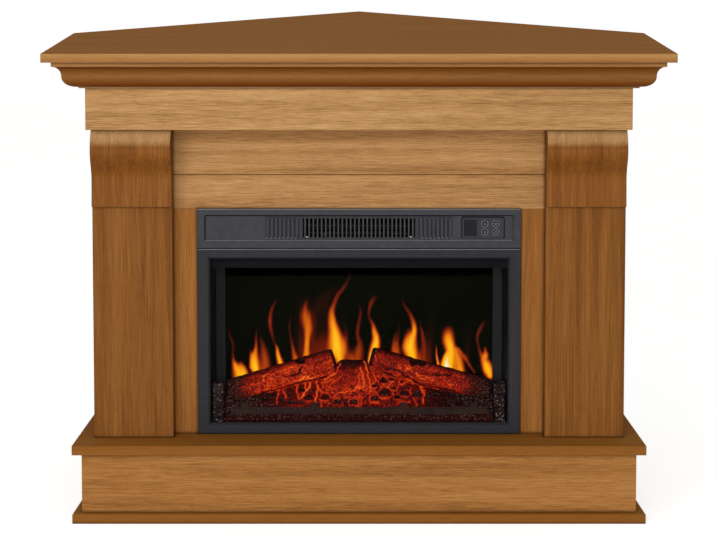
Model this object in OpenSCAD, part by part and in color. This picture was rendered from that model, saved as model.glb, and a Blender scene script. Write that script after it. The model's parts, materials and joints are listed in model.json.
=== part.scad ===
// Corner fireplace: a veneered corner mantel that carries an electric flame-effect insert.
// X runs to the viewer's right, Y from the viewer towards the room corner, Z up, in millimetres.
// Depths are set back from the front edge of the shelf. The origin is the middle of the footprint's
// bounding box, on the floor.

/* [Mantel plan] */
// Width across the front edge of the shelf
shelf_w = 1260; // [1220:5:1340]
// Depth from the front edge of the shelf to the room corner
depth = 1100; // [1060:5:1180]
// Inward slope of the sides towards the walls, in degrees
side_slope = 3.43; // [0:0.01:6]
// Gap left between the boards and the room walls
wall_gap = 8; // [2:1:20]
// Thickness of the upright mantel boards
board_t = 18; // [12:1:22]

/* [Shelf and crown] */
// Thickness of the top shelf
shelf_t = 18; // [15:1:25]
// Setback of the crown's top band from the shelf's edge
crown_lip = 18; // [10:1:24]
// Height of the crown's top band
crown_band_h = 10; // [6:1:14]
// Projection of the hollow curve below the band
cove_d = 18; // [10:1:24]
// Height of the hollow curve
cove_h = 20; // [10:1:26]
// Height of the flat between the two curves
crown_step_h = 1; // [0.5:0.5:4]
// Projection of the round curve at the foot of the crown
ovolo_d = 30; // [18:1:36]
// Height of the round curve
ovolo_h = 23; // [14:1:28]
// Height of the square edge under the round curve
crown_foot_h = 3; // [2:1:8]
// Thickness of the crown at its foot
crown_foot_d = 11.5; // [8:0.5:16]

/* [Frieze] */
// Height of the frieze below the crown
frieze_h = 85; // [70:1:110]
// Thickness of the board that closes the frieze from below
soffit_t = 18; // [12:1:20]

/* [Pilasters and corbels] */
// Setback of the pilasters' front faces
pilaster_front = 152; // [145:1:175]
// Offset of the pilasters' outer faces from the shelf's sides
pilaster_side = 80; // [60:1:95]
// Wall thickness of the hollow pilasters
pilaster_wall = 16; // [12:1:20]
// Height of the corbels under the frieze
corbel_h = 162; // [140:1:200]
// Projection of the corbels at the top
corbel_top_d = 15; // [8:1:24]
// Projection of the corbels at the fullest point
corbel_belly_d = 60; // [40:1:66]
// Drop from the corbel's top to the fullest point
corbel_belly_drop = 45; // [30:1:55]
// Projection of the corbels at the waist
corbel_waist_d = 15.5; // [10:0.5:20]
// Drop from the corbel's top to the waist
corbel_waist_drop = 106; // [90:1:120]
// Projection of the corbels at the foot
corbel_foot_d = 22; // [14:1:30]

/* [Panel] */
// Depth from the pilasters' faces to the face of the panel
panel_back = 46; // [36:1:60]
// Width of the upright board shown beside the insert
stile_w = 49; // [35:1:70]
// Height of the cross board above the insert
lower_board_h = 70; // [55:1:90]
// Height of the cross board under the frieze
upper_board_h = 104; // [85:1:125]
// Width of the bevel along the joint of the two cross boards
joint_bevel = 1.5; // [0.5:0.5:3]
// Overlap of the insert's trim over the panel
trim_lap = 15; // [8:1:20]

/* [Hearth base] */
// Setback of the hearth slab's front edge
hearth_front = 59; // [40:1:70]
// Offset of the hearth slab's sides from the shelf's sides
hearth_side = 45.4; // [30:0.1:60]
// Thickness of the hearth slab
hearth_t = 19.5; // [16:0.5:25]
// Setback of the plinth's front board behind the slab's edge
plinth_inset = 24; // [12:1:35]
// Offset of the plinth's side boards inside the slab's sides
plinth_side_inset = 17; // [10:1:30]
// Height of the plinth boards
plinth_h = 122; // [100:1:150]
// Thickness of the base slab
base_t = 19; // [16:1:25]
// Side of the square post in the room corner
post_w = 45; // [35:1:60]
// Height of the rails that carry the shelf along the walls
rail_h = 60; // [45:1:70]

/* [Insert] */
// Width of the insert's trim
insert_w = 660; // [640:2:700]
// Height of the insert's trim
insert_h = 465; // [450:1:490]
// Thickness of the trim in front of the panel
trim_t = 7; // [6:0.5:10]
// Lift of the trim off the hearth slab
trim_lift = 0.5; // [0.2:0.1:2]
// Depth of the insert's sheet-metal housing
housing_d = 202; // [196:1:260]
// Gap from the housing to the edge of the panel's opening
housing_gap = 3; // [1:0.5:6]
// Sheet thickness
sheet_t = 1.2; // [0.8:0.1:2]
// Width of the flange round the housing's open back
flange_w = 14; // [12:1:20]

/* [Glass door] */
// Width of the glass frame's side bars
side_bar_w = 22; // [18:1:28]
// Height of the glass frame's bottom bar
bottom_bar_h = 19.5; // [16:0.5:24]
// Height of the glass frame's top bar
top_bar_h = 18.4; // [15:0.1:24]
// Gap between the glass frame and the heater trim
trim_gap = 0.6; // [0.3:0.1:1.5]
// Width of the thin lip that holds the glass
lip_w = 3; // [1:0.5:5]
// Thickness of the lip
lip_t = 3; // [1.5:0.5:4]
// Thickness of the glass
glass_t = 4; // [3:0.5:5]

/* [Heater trim] */
// Height of the heater trim above the glass
heater_trim_h = 80; // [76:1:90]
// Width of the plain border round the sunk face
face_border = 14.7; // [12:0.1:20]
// Height of the plain border under the sunk face
face_foot = 15; // [12:1:18]
// Height of the sunk face
face_h = 52.5; // [50:0.5:56]
// Depth of the sunk face
face_depth = 3.5; // [2:0.5:4]
// Corner radius of the sunk face
face_r = 4; // [1:1:10]
// Height of the upright bars of the air grille
bar_h = 43.5; // [36:0.5:46]
// Distance between two upright bars
bar_pitch = 8.46; // [7:0.01:9]
// Width of an upright bar
bar_w = 4.4; // [3:0.1:5]
// Number of bars across the open grille
grille_bars = 28; // [24:1:30]
// Plain strip between the raised ribs and the control panel
rib_clear = 20; // [15:0.5:30]

/* [Controls] */
// Distance from the side of the insert's trim to the middle of the control panel
controls_inset = 77.1; // [70:0.1:85]
// Width of the control panel
controls_w = 84.6; // [80:0.1:90]
// Height of the control panel
controls_h = 42.3; // [40:0.1:46]
// Thickness of the control panel's plate
controls_t = 2; // [1.6:0.1:2.6]
// Depth of the control panel's skirt behind its plate
skirt_d = 8.5; // [7.5:0.5:12]
// Width of the display window
window_w = 26; // [20:1:30]
// Height of the display window
window_h = 34; // [28:1:36]
// Diameter of a push button
button_dia = 11; // [9:0.5:12]
// Distance between the two columns of buttons
button_pitch_x = 22.7; // [20:0.1:24]
// Distance between the two rows of buttons
button_pitch_z = 16.7; // [15.6:0.1:18]
// Distance from the control panel's middle to the left column of buttons
button_x = 3.5; // [2:0.1:5]
// Height of a button above the plate
button_rise = 0.9; // [0.5:0.1:1.5]
// Travel of a button
button_travel = 1; // [0.6:0.1:1.2]
// Height of a switch under its button
switch_h = 3.5; // [2.5:0.1:4.5]

/* [Heater] */
// Height of the heater's floor above the underside of the insert
heater_floor_h = 339; // [325:1:345]
// Depth from the panel's face to the front edge of the heater's floor
heater_floor_front = 34; // [26:1:40]
// Outer diameter of the blower drum
drum_dia = 62; // [50:1:66]
// Length of the blower drum
drum_w = 220; // [180:2:226]
// Number of blades round the drum
blade_count = 24; // [16:1:30]
// Depth from the panel's face to the blower's axis
blower_depth = 114; // [105:1:130]
// Running gap between the drum and its shell
drum_gap = 4; // [3:0.5:6]
// Diameter of the blower and flame-rod shafts
shaft_dia = 6; // [5:0.5:8]
// Outer diameter of the shaft bushes
bush_dia = 14; // [12:1:16]
// Length of a shaft bush
bush_w = 8; // [6:1:12]
// Number of wires across the heating element
wire_rows = 5; // [3:1:6]
// Diameter of an element wire
wire_dia = 1.4; // [1:0.1:2]

/* [Firebox] */
// Depth from the panel's face to the flame screen
screen_depth = 111.2; // [104:0.2:114]
// Thickness of the flame screen
screen_t = 3; // [2:0.5:5]
// Inset of the side plates where they meet the screen
splay = 13.4; // [8:0.2:20]
// Width of the side plates' flanges in front of the screen
reveal_flange = 20; // [12:1:26]
// Gap from the housing's side to the end of the ember bed
bed_end_gap = 34.8; // [30:0.1:60]
// Depth from the panel's face to the ember bed's front
bed_front = 14; // [10:1:20]
// Depth of the ember bed
bed_d = 90; // [84:1:92]
// Height of the ember bed's front skirt
skirt_h = 37; // [30:1:56]
// Height of the bed's face behind the grate bar
bed_lip_h = 17; // [12:1:24]
// Height that the bed gains towards the screen
bed_rise = 26; // [10:1:30]
// Width of the ledge under the grate bar
bar_ledge = 8; // [6:1:12]
// Wall thickness of the ember bed
bed_wall = 3; // [2:0.5:5]
// Height of the grate bar
grate_h = 14; // [10:1:22]
// Gap from the end of the ember bed to the end of the grate bar
bar_end_gap = 12; // [2:1:20]
// Height of the lugs on the grate bar
lug_h = 10; // [6:1:14]
// Radius of the side logs at their high ends
log_r = 29; // [18:1:31]
// Radius of the side logs at their low ends
log_tip_r = 24; // [13:1:26]
// Height that the side logs rise above the bed
log_rise = 60; // [40:1:66]
// Distance from the middle to the left log's high end
left_log_end = 58; // [50:1:80]
// Distance from the middle to the right log's high end
right_log_end = 32; // [26:1:60]
// Radius of the centre log at its foot
stump_r = 46; // [30:1:48]
// Radius of the centre log at its top
stump_top_r = 32; // [24:1:40]
// Distance that the centre log's foot stands further left than its top
stump_lean = 8; // [0:1:12]
// Offset of the centre log to the left of the middle
stump_offset = 14; // [8:1:20]
// Width of the brick blocks at the ends
brick_w = 26; // [20:1:34]
// Height of the brick blocks
brick_h = 100; // [80:1:110]

/* [Flame effect] */
// Depth from the panel's face to the axis of the flame rod
rod_depth = 154; // [146:1:160]
// Height of the flame rod above the underside of the insert
rod_h = 80; // [60:1:110]
// Number of reflectors on the flame rod
reflector_count = 12; // [8:1:14]
// Reach of a reflector from the rod's axis
reflector_r = 24; // [16:1:28]
// Width of a reflector along the rod
reflector_w = 30; // [20:1:34]
// Diameter of the flame rod's motor
motor_dia = 50; // [40:1:56]
// Width of the flame rod's motor
motor_w = 18; // [14:1:20]
// Gap from the housing's side to the flame rod's motor bracket
rod_end_gap = 40.8; // [36:0.1:50]
// Width of a light strip
strip_w = 16; // [12:1:20]

/* [Fixings] */
// Diameter of the screw shanks
screw_dia = 3.4; // [3:0.1:4]
// Diameter of the screw heads
screw_head_dia = 7.5; // [6:0.5:9]
// Length of the screw shanks
screw_l = 10; // [8:1:14]
// Height of the mounting brackets
bracket_h = 60; // [45:1:80]
// Reach of the brackets' legs
bracket_leg = 30; // [24:1:34]
// Distance from the housing's side to the mains inlet
inlet_inset = 60; // [40:1:90]
// Height of the mains inlet above the underside of the insert
inlet_h = 34; // [30:1:60]
// Diameter of the mains inlet's bore
inlet_bore = 7; // [5:0.5:9]

/* [Clearances] */
// Clearance of a screw in its hole, on the radius
screw_gap = 0.1; // [0.05:0.05:0.3]
// Clearance of a shaft in its bush, on the radius
shaft_gap = 0.06; // [0.02:0.01:0.1]
// Clearance of a button in its hole, on the radius
button_gap = 0.2; // [0.1:0.05:0.4]
// Clearance of a part set into an opening
fit_gap = 0.3; // [0.1:0.05:0.5]
// Clearance of the log set's pieces from each other
seat_gap = 0.2; // [0.1:0.05:0.5]

/* [Hidden] */

// Overshoot of a cut past the face that it opens
over = 1;
// Steps along one curve of a moulding
curve_steps = 10;
$fn = 48;

// Levels, counted up from the floor
plinth_z = base_t;
slab_z = plinth_z + plinth_h;
hearth_z = slab_z + hearth_t;
trim_z = hearth_z + trim_lift;
trim_top = trim_z + insert_h;
joint_z = trim_top + lower_board_h;
frieze_z = joint_z + upper_board_h;
crown_z = frieze_z + frieze_h;
crown_h = crown_foot_h + ovolo_h + crown_step_h + cove_h + crown_band_h;
shelf_z = crown_z + crown_h;

// Depths, counted back from the shelf's front edge
frieze_set = crown_lip + cove_d + ovolo_d + crown_foot_d;
panel_y = pilaster_front + panel_back;
panel_rear = panel_y + board_t;
trim_front = panel_y - trim_t;
housing_rear = panel_y + housing_d;
plinth_front_y = hearth_front + plinth_inset;
plinth_side = hearth_side + plinth_side_inset;

// Panel and housing
panel_half_w = insert_w / 2 + stile_w;
opening_half_w = insert_w / 2 - trim_lap;
opening_top = trim_top - trim_lap + housing_gap;
housing_half_w = opening_half_w - housing_gap;
housing_h = opening_top - housing_gap - hearth_z;
inner_half_w = housing_half_w - sheet_t;
floor_z = hearth_z + sheet_t;
ceiling_z = hearth_z + housing_h - sheet_t;

// Trim, glass and controls
heater_trim_z = trim_top - heater_trim_h;
glass_frame_h = insert_h - heater_trim_h - trim_gap;
face_z = heater_trim_z + face_foot;
face_y = trim_front + face_depth;
face_half_w = insert_w / 2 - face_border;
face_mid_z = face_z + face_h / 2;
bar_y = trim_front + 0.5;
grille_half_w = grille_bars * bar_pitch / 2;
controls_x = insert_w / 2 - controls_inset;
controls_y = face_y - controls_t;
rib_count = floor((controls_x - controls_w / 2 - rib_clear - grille_half_w) / bar_pitch);
skirt_half_w = controls_w / 2 - 2.6;
skirt_half_h = controls_h / 2 - 3.5;
skirt_wall = 1.5;
skirt_rear = face_y + skirt_d;
button_flange_t = 1;
button_seat = 0.1;
window_x = -controls_w / 2 + 16.5;
window_t = 1;

// Heater and flame effect
heater_z = hearth_z + heater_floor_h;
upstand_y = panel_y + heater_floor_front;
blower_y = panel_y + blower_depth;
duct_z = face_mid_z - bar_h / 2 - 5;
duct_half_w = drum_w / 2 + 11;
shell_r = drum_dia / 2 + drum_gap;
blower_z = ceiling_z - shell_r - sheet_t;
screen_y = panel_y + screen_depth;
rod_y = panel_y + rod_depth;
rod_z = hearth_z + rod_h;
rod_half_w = inner_half_w - rod_end_gap;
bed_half_w = inner_half_w - bed_end_gap;
bed_y = panel_y + bed_front;
bar_seat_z = hearth_z + skirt_h;
bush_hub = bush_dia / 2;

// Half width of a plan line at a depth, offset inwards from the sloping side
function side_x(y, offset) = shelf_w / 2 - offset / cos(side_slope) - y * tan(side_slope);
// Depth at which that line meets the wall line
function wall_y(offset, gap) =
    (depth - gap * sqrt(2) - side_x(0, offset)) / (1 - tan(side_slope));
// A smooth step from 0 to 1
function ease(t) = (1 - cos(180 * t)) / 2;

// Plan of a slab that fills the corner
function slab_plan(front, side, gap) = let (y = wall_y(side, gap)) [
    [-side_x(front, side), front], [side_x(front, side), front], [side_x(y, side), y],
    [0, depth - gap * sqrt(2)], [-side_x(y, side), y]];
// Plan of a mitred board of thickness t along the front
function front_plan(front, side, t) = [
    [-side_x(front, side), front], [side_x(front, side), front],
    [side_x(front + t, side + t), front + t], [-side_x(front + t, side + t), front + t]];
// Plan of a board of thickness t along the right side, its inner face starting at depth inner
function side_plan(front, inner, side, t, gap) = [
    [side_x(front, side), front], [side_x(wall_y(side, gap), side), wall_y(side, gap)],
    [side_x(wall_y(side + t, gap), side + t), wall_y(side + t, gap)], [side_x(inner, side + t), inner]];
// Plan of a board of thickness t along the right wall, between the post and a side board
function wall_plan(start, side, t, gap) = let (tip = depth - gap * sqrt(2), in = t / sqrt(2)) [
    [start, tip - start], [side_x(wall_y(side, gap), side), wall_y(side, gap)],
    [side_x(wall_y(side, gap + t), side), wall_y(side, gap + t)], [start - in, tip - start - in]];

// Stands the drawing, measured from the shelf's front edge, over the origin
module placed() translate([0, -depth / 2, 0]) children();
module left() mirror([1, 0, 0]) children();
module both() {
    children();
    left() children();
}
module plate(points, z, h) translate([0, 0, z]) linear_extrude(h) polygon(points);
module block(x0, x1, y0, y1, z0, z1) translate([x0, y0, z0]) cube([x1 - x0, y1 - y0, z1 - z0]);
// A block centred on X
module wide(half, y0, y1, z0, z1) block(-half, half, y0, y1, z0, z1);
// A cylinder along X, from x0 to x1
module rod_x(x0, x1, y, z, d) translate([x0, y, z]) rotate([0, 90, 0]) cylinder(h = x1 - x0, d = d);
// A cylinder along Y, from y0 to y1
module rod_y(x, y0, y1, z, d) translate([x, y1, z]) rotate([90, 0, 0]) cylinder(h = y1 - y0, d = d);
// An upright plate with round corners, facing the viewer
module rounded_face(x, z, w, h, r, y0, y1) translate([x, y1, z]) rotate([90, 0, 0]) linear_extrude(y1 - y0) {
    square([w - 2 * r, h], center = true);
    square([w, h - 2 * r], center = true);
    for (i = [-1, 1], j = [-1, 1]) translate([i * (w / 2 - r), j * (h / 2 - r)]) circle(r);
}

// ---- Mantel ----

module top_shelf() color("#b9793c") placed() plate(slab_plan(0, 0, 0), shelf_z, shelf_t);

// Section of the crown: x is the setback from the shelf's edge, y the height above the crown's foot
crown_section = let (
    ovolo_x = crown_lip + cove_d + ovolo_d,
    ovolo_top = crown_foot_h + ovolo_h,
    cove_z = ovolo_top + crown_step_h
) concat(
    [[frieze_set, 0], [ovolo_x, 0]],
    [for (i = [0:curve_steps]) let (a = 90 - 90 * i / curve_steps)
        [ovolo_x - ovolo_d * cos(a), ovolo_top - ovolo_h * sin(a)]],
    [for (i = [0:curve_steps]) let (a = 90 - 90 * i / curve_steps)
        [crown_lip + cove_d * sin(a), cove_z + cove_h * cos(a)]],
    [[crown_lip, crown_h], [frieze_set, crown_h]]);

// A run of the crown along +X with its outer edge on the X axis
module crown_run(x0, x1) translate([x0, 0, crown_z]) rotate([90, 0, 90])
    linear_extrude(x1 - x0) polygon(crown_section);
module crown_front() color("#8f5527") placed() intersection() {
    crown_run(-shelf_w / 2, shelf_w / 2);
    plate(front_plan(0, 0, frieze_set), crown_z, crown_h);
}
module crown_side() placed() intersection() {
    translate([shelf_w / 2, 0, 0]) rotate([0, 0, 90 + side_slope]) crown_run(-over, depth);
    plate(side_plan(0, frieze_set, 0, frieze_set, wall_gap), crown_z, crown_h);
}
module crown_right() color("#8f5527") crown_side();
module crown_left() color("#8f5527") left() crown_side();

module frieze_front() color("#c08a4c") placed()
    plate(front_plan(frieze_set, frieze_set, board_t), frieze_z, shelf_z - frieze_z);
module frieze_side() placed()
    plate(side_plan(frieze_set, frieze_set + board_t, frieze_set, board_t, wall_gap),
        frieze_z, shelf_z - frieze_z);
module frieze_right() color("#c08a4c") frieze_side();
module frieze_left() color("#c08a4c") left() frieze_side();
// The soffit closes the frieze over the corbels, the pilasters and the panel
module frieze_soffit() color("#a9733b") placed() let (f = frieze_set + board_t, b = panel_rear + 2 * board_t)
    plate([[-side_x(f, f), f], [side_x(f, f), f], [side_x(b, f), b], [-side_x(b, f), b]], frieze_z, soffit_t);

// A cross board of the panel, bevelled along its lower (0) or upper (1) front edge
module cross_board(z0, z1, upper) translate([-panel_half_w, 0, 0]) rotate([90, 0, 90])
    linear_extrude(2 * panel_half_w) polygon(upper
        ? [[panel_y, z0], [panel_rear, z0], [panel_rear, z1], [panel_y + joint_bevel, z1],
            [panel_y, z1 - joint_bevel]]
        : [[panel_y + joint_bevel, z0], [panel_rear, z0], [panel_rear, z1], [panel_y, z1],
            [panel_y, z0 + joint_bevel]]);
module upper_panel_board() color("#bb8448") placed() cross_board(joint_z, frieze_z, false);
// The lower board is notched so that the trim hides its edge, and the stiles stand below it
module lower_panel_board() color("#bb8448") placed() difference() {
    cross_board(opening_top, joint_z, true);
    both() block(opening_half_w, panel_half_w + over, panel_y - over, panel_rear + over,
        opening_top - over, trim_top);
}
module inner_stile() placed() difference() {
    block(opening_half_w, panel_half_w, panel_y, panel_rear, hearth_z, trim_top);
    for (p = bracket_points) rod_y(p[0], panel_rear - screw_l, panel_rear + over, p[1], screw_hole);
}
module right_inner_stile() color("#b27a41") inner_stile();
module left_inner_stile() color("#b27a41") left() inner_stile();

// A pilaster is a box of boards with a batten down its middle
pilaster_rear = panel_rear;
module pilaster() placed() let (
    outer_front = side_x(pilaster_front, pilaster_side),
    outer_rear = side_x(pilaster_rear, pilaster_side),
    batten_x = (panel_half_w + outer_rear) / 2
) difference() {
    plate([[panel_half_w, pilaster_front], [outer_front, pilaster_front], [outer_rear, pilaster_rear],
        [panel_half_w, pilaster_rear]], hearth_z, frieze_z - hearth_z);
    for (x = [[panel_half_w + pilaster_wall, batten_x - pilaster_wall / 2],
            [batten_x + pilaster_wall / 2, outer_rear - pilaster_wall]])
        block(x[0], x[1], pilaster_front + pilaster_wall, pilaster_rear - pilaster_wall / 2,
            hearth_z - over, frieze_z + over);
}
module right_pilaster() color("#a46c38") pilaster();
module left_pilaster() color("#a46c38") left() pilaster();

// Profile of a corbel: projection from the pilaster's face against height above the corbel's foot
corbel_section = let (
    belly = corbel_h - corbel_belly_drop,
    waist = corbel_h - corbel_waist_drop,
    rise = corbel_belly_d - corbel_top_d,
    tuck = corbel_belly_d - corbel_waist_d,
    kick = corbel_foot_d - corbel_waist_d
) concat(
    [[0, 0]],
    [for (i = [0:curve_steps - 1]) let (t = 1 - i / curve_steps)
        [corbel_waist_d + kick * t * t, waist * (1 - t)]],
    [for (i = [0:curve_steps - 1]) let (t = i / curve_steps)
        [corbel_waist_d + tuck * ease(t), waist + (belly - waist) * t]],
    [for (i = [0:curve_steps]) let (t = i / curve_steps)
        [corbel_belly_d - rise * t * t, belly + corbel_belly_drop * t]],
    [[0, corbel_h]]);
module corbel() placed() translate([panel_half_w, pilaster_front, frieze_z - corbel_h])
    mirror([0, 1, 0]) rotate([90, 0, 90])
        linear_extrude(side_x(pilaster_front, pilaster_side) - panel_half_w) polygon(corbel_section);
module right_corbel() color("#8a5528") corbel();
module left_corbel() color("#8a5528") left() corbel();

module side_panel() placed()
    plate(side_plan(pilaster_rear, pilaster_rear, pilaster_side, board_t, wall_gap),
        hearth_z, frieze_z - hearth_z);
module right_side_panel() color("#a9733b") side_panel();
module left_side_panel() color("#a9733b") left() side_panel();

module corner_slab(z, t) placed() plate(slab_plan(hearth_front, hearth_side, wall_gap), z, t);
module hearth_slab() color("#8a5526") corner_slab(slab_z, hearth_t);
module base_slab() color("#8a5526") corner_slab(0, base_t);
module plinth_front() color("#b9803f") placed()
    plate(front_plan(plinth_front_y, plinth_side, board_t), plinth_z, plinth_h);
module plinth_end() placed()
    plate(side_plan(plinth_front_y, plinth_front_y + board_t, plinth_side, board_t, wall_gap),
        plinth_z, plinth_h);
module plinth_right() color("#b9803f") plinth_end();
module plinth_left() color("#b9803f") left() plinth_end();
// Two boards along the walls close the plinth and meet in the room corner
module plinth_back() color("#8f6332") placed() both()
    plate(wall_plan(board_t / sqrt(2), plinth_side + board_t, board_t, wall_gap), plinth_z, plinth_h);

// The corner post stands on the hearth slab and, with the two wall rails, carries the back of the shelf
module rear_frame() color("#8f6332") placed() {
    translate([0, depth - wall_gap * sqrt(2), hearth_z]) rotate([0, 0, -135])
        cube([post_w, post_w, shelf_z - hearth_z]);
    both() plate(wall_plan(post_w / sqrt(2) - over, frieze_set + board_t, board_t, wall_gap),
        shelf_z - rail_h, rail_h);
}

// ---- Insert: housing and trim ----

screw_hole = screw_dia + 2 * screw_gap;
// Screws through the brackets into the stiles, and through the rear cover into the flange
bracket_z = hearth_z + insert_h * 0.5;
bracket_points = [for (i = [-1, 1]) [housing_half_w + bracket_leg * 0.65, bracket_z + i * bracket_h / 4]];
cover_points = let (x = housing_half_w - flange_w / 2 - sheet_t, low = hearth_z + flange_w / 2 + sheet_t)
    [for (i = [-1, 1], z = [low, hearth_z + housing_h / 2, hearth_z + housing_h - flange_w / 2 - sheet_t])
        [i * x, z]];
tab_half_w = bush_dia / 2 + 8;

module firebox_housing() color("#2e2e31") placed() {
    difference() {
        wide(housing_half_w, panel_y, housing_rear, hearth_z, hearth_z + housing_h);
        wide(inner_half_w, panel_y - over, housing_rear - sheet_t, floor_z, ceiling_z);
        wide(inner_half_w - flange_w, panel_y, housing_rear + over, floor_z + flange_w, ceiling_z - flange_w);
        for (p = cover_points) rod_y(p[0], housing_rear - 2 * sheet_t, housing_rear + over, p[1], screw_hole);
    }
    // Uprights that carry the flame rod's bush and its motor
    difference() {
        union() {
            block(-rod_half_w - bush_w, -rod_half_w - bush_w + sheet_t,
                rod_y - tab_half_w, rod_y + tab_half_w, floor_z, rod_z + tab_half_w);
            block(rod_half_w - sheet_t, rod_half_w, rod_y - tab_half_w, rod_y + tab_half_w,
                floor_z, rod_z + tab_half_w);
        }
        rod_x(-rod_half_w - bush_w - over, -rod_half_w, rod_y, rod_z, bush_dia);
        rod_x(rod_half_w - sheet_t - over, rod_half_w + over, rod_y, rod_z, bush_dia);
    }
}

vent_count = 14;
vent_w = 5;
vent_h = 70;
vent_z = ceiling_z - vent_h - 25;
inlet_x = inner_half_w - inlet_inset;
inlet_z = hearth_z + inlet_h;
inlet_barrel = inlet_bore + 5;
module rear_cover() color("#3a3a3e") placed() difference() {
    wide(housing_half_w, housing_rear, housing_rear + sheet_t, hearth_z, hearth_z + housing_h);
    for (i = [0:vent_count - 1])
        translate([(i - (vent_count - 1) / 2) * vent_w * 3 - vent_w / 2, housing_rear - over, vent_z])
            cube([vent_w, sheet_t + 2 * over, vent_h]);
    for (p = cover_points) rod_y(p[0], housing_rear - over, housing_rear + sheet_t + over, p[1], screw_hole);
    rod_y(inlet_x, housing_rear - over, housing_rear + sheet_t + over, inlet_z, inlet_barrel + 2 * screw_gap);
}

// The heater stands on a shelf whose upstand closes the firebox below the blower's duct
module heater_shelf() color("#232326") placed() {
    wide(inner_half_w, upstand_y, housing_rear - sheet_t, heater_z, heater_z + sheet_t);
    wide(inner_half_w, upstand_y, upstand_y + sheet_t, heater_z, duct_z);
}

controls_opening_w = 2 * skirt_half_w + 2 * fit_gap;
controls_opening_h = 2 * skirt_half_h + 2 * fit_gap;
module heater_trim() color("#3d3d42") placed() {
    difference() {
        wide(insert_w / 2, trim_front, panel_y, heater_trim_z, trim_top);
        rounded_face(0, face_mid_z, 2 * face_half_w, face_h, face_r, trim_front - over, face_y);
        wide(grille_half_w - bar_pitch / 2, face_y - over, panel_y + over,
            face_mid_z - bar_h / 2 + 2, face_mid_z + bar_h / 2 - 2);
        block(controls_x - controls_opening_w / 2, controls_x + controls_opening_w / 2,
            face_y - over, panel_y + over,
            face_mid_z - controls_opening_h / 2, face_mid_z + controls_opening_h / 2);
    }
    both() for (i = [1:rib_count])
        block(grille_half_w + i * bar_pitch - bar_w / 2, grille_half_w + i * bar_pitch + bar_w / 2,
            bar_y, face_y, face_mid_z - bar_h / 2, face_mid_z + bar_h / 2);
}

grille_border = 2;
module air_grille() color("#35353a") placed() {
    difference() {
        wide(grille_half_w + bar_w / 2, bar_y + 1, face_y, face_mid_z - bar_h / 2, face_mid_z + bar_h / 2);
        wide(grille_half_w - bar_pitch / 2, bar_y, face_y + over,
            face_mid_z - bar_h / 2 + grille_border, face_mid_z + bar_h / 2 - grille_border);
    }
    for (i = [0:grille_bars]) let (x = -grille_half_w + i * bar_pitch)
        block(x - bar_w / 2, x + bar_w / 2, bar_y, face_y,
            face_mid_z - bar_h / 2 + grille_border / 2, face_mid_z + bar_h / 2 - grille_border / 2);
}

// Places of the four buttons, from the control panel's middle
button_points = [for (j = [1, -1], i = [0, 1]) [button_x + i * button_pitch_x, j * button_pitch_z / 2]];
controls_r = 6;
module control_panel() color("#2b2b30") placed() difference() {
    union() {
        rounded_face(controls_x, face_mid_z, controls_w, controls_h, controls_r, controls_y, face_y);
        difference() {
            block(controls_x - skirt_half_w, controls_x + skirt_half_w, face_y, skirt_rear,
                face_mid_z - skirt_half_h, face_mid_z + skirt_half_h);
            block(controls_x - skirt_half_w + skirt_wall, controls_x + skirt_half_w - skirt_wall,
                face_y, skirt_rear + over,
                face_mid_z - skirt_half_h + skirt_wall, face_mid_z + skirt_half_h - skirt_wall);
        }
    }
    block(controls_x + window_x - window_w / 2, controls_x + window_x + window_w / 2, controls_y - over,
        controls_y + window_t, face_mid_z - window_h / 2, face_mid_z + window_h / 2);
    for (p = button_points)
        rod_y(controls_x + p[0], controls_y - over, face_y + over, face_mid_z + p[1],
            button_dia + 2 * button_gap);
}
module display_window() color("#101014") placed()
    block(controls_x + window_x - window_w / 2 + fit_gap, controls_x + window_x + window_w / 2 - fit_gap,
        controls_y - 0.1, controls_y + window_t, face_mid_z - window_h / 2 + fit_gap,
        face_mid_z + window_h / 2 - fit_gap);

// A push button: its cap stands through the plate, its flange stops behind it, its stem faces a switch
board_y = skirt_rear;
button_stem_rear = board_y - switch_h - button_travel - button_seat;
button_flange_y = face_y + button_seat;
module push_button(p) placed() translate([controls_x, 0, face_mid_z]) {
    rod_y(p[0], controls_y - button_rise, button_flange_y, p[1], button_dia);
    rod_y(p[0], button_flange_y, button_flange_y + button_flange_t, p[1], button_dia + 2);
    rod_y(p[0], button_flange_y + button_flange_t, button_stem_rear, p[1], button_dia / 3);
}
module power_button() color("#34343a") push_button(button_points[0]);
module heat_button() color("#34343a") push_button(button_points[1]);
module flame_button() color("#34343a") push_button(button_points[2]);
module timer_button() color("#34343a") push_button(button_points[3]);

// The board lies against the skirt's rim and carries a switch behind each button
board_t_pcb = 1.6;
switch_w = 6;
module control_board() color("#1f5a34") placed() {
    block(controls_x - skirt_half_w, controls_x + skirt_half_w, board_y, board_y + board_t_pcb,
        face_mid_z - skirt_half_h, face_mid_z + skirt_half_h);
    for (p = button_points)
        block(controls_x + p[0] - switch_w / 2, controls_x + p[0] + switch_w / 2, board_y - switch_h, board_y,
            face_mid_z + p[1] - switch_w / 2, face_mid_z + p[1] + switch_w / 2);
}

module glass_frame() color("#36363a") placed() difference() {
    wide(insert_w / 2, trim_front, panel_y, trim_z, trim_z + glass_frame_h);
    wide(insert_w / 2 - side_bar_w, trim_front - over, panel_y - lip_t,
        trim_z + bottom_bar_h, trim_z + glass_frame_h - top_bar_h);
    wide(insert_w / 2 - side_bar_w - lip_w, trim_front - over, panel_y + over,
        trim_z + bottom_bar_h + lip_w, trim_z + glass_frame_h - top_bar_h - lip_w);
}
module glass_pane() color("#9fb4bd", 0.35) placed()
    wide(inner_half_w - fit_gap, panel_y, panel_y + glass_t, floor_z, trim_z + glass_frame_h - 2);

// ---- Insert: firebox ----

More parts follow.
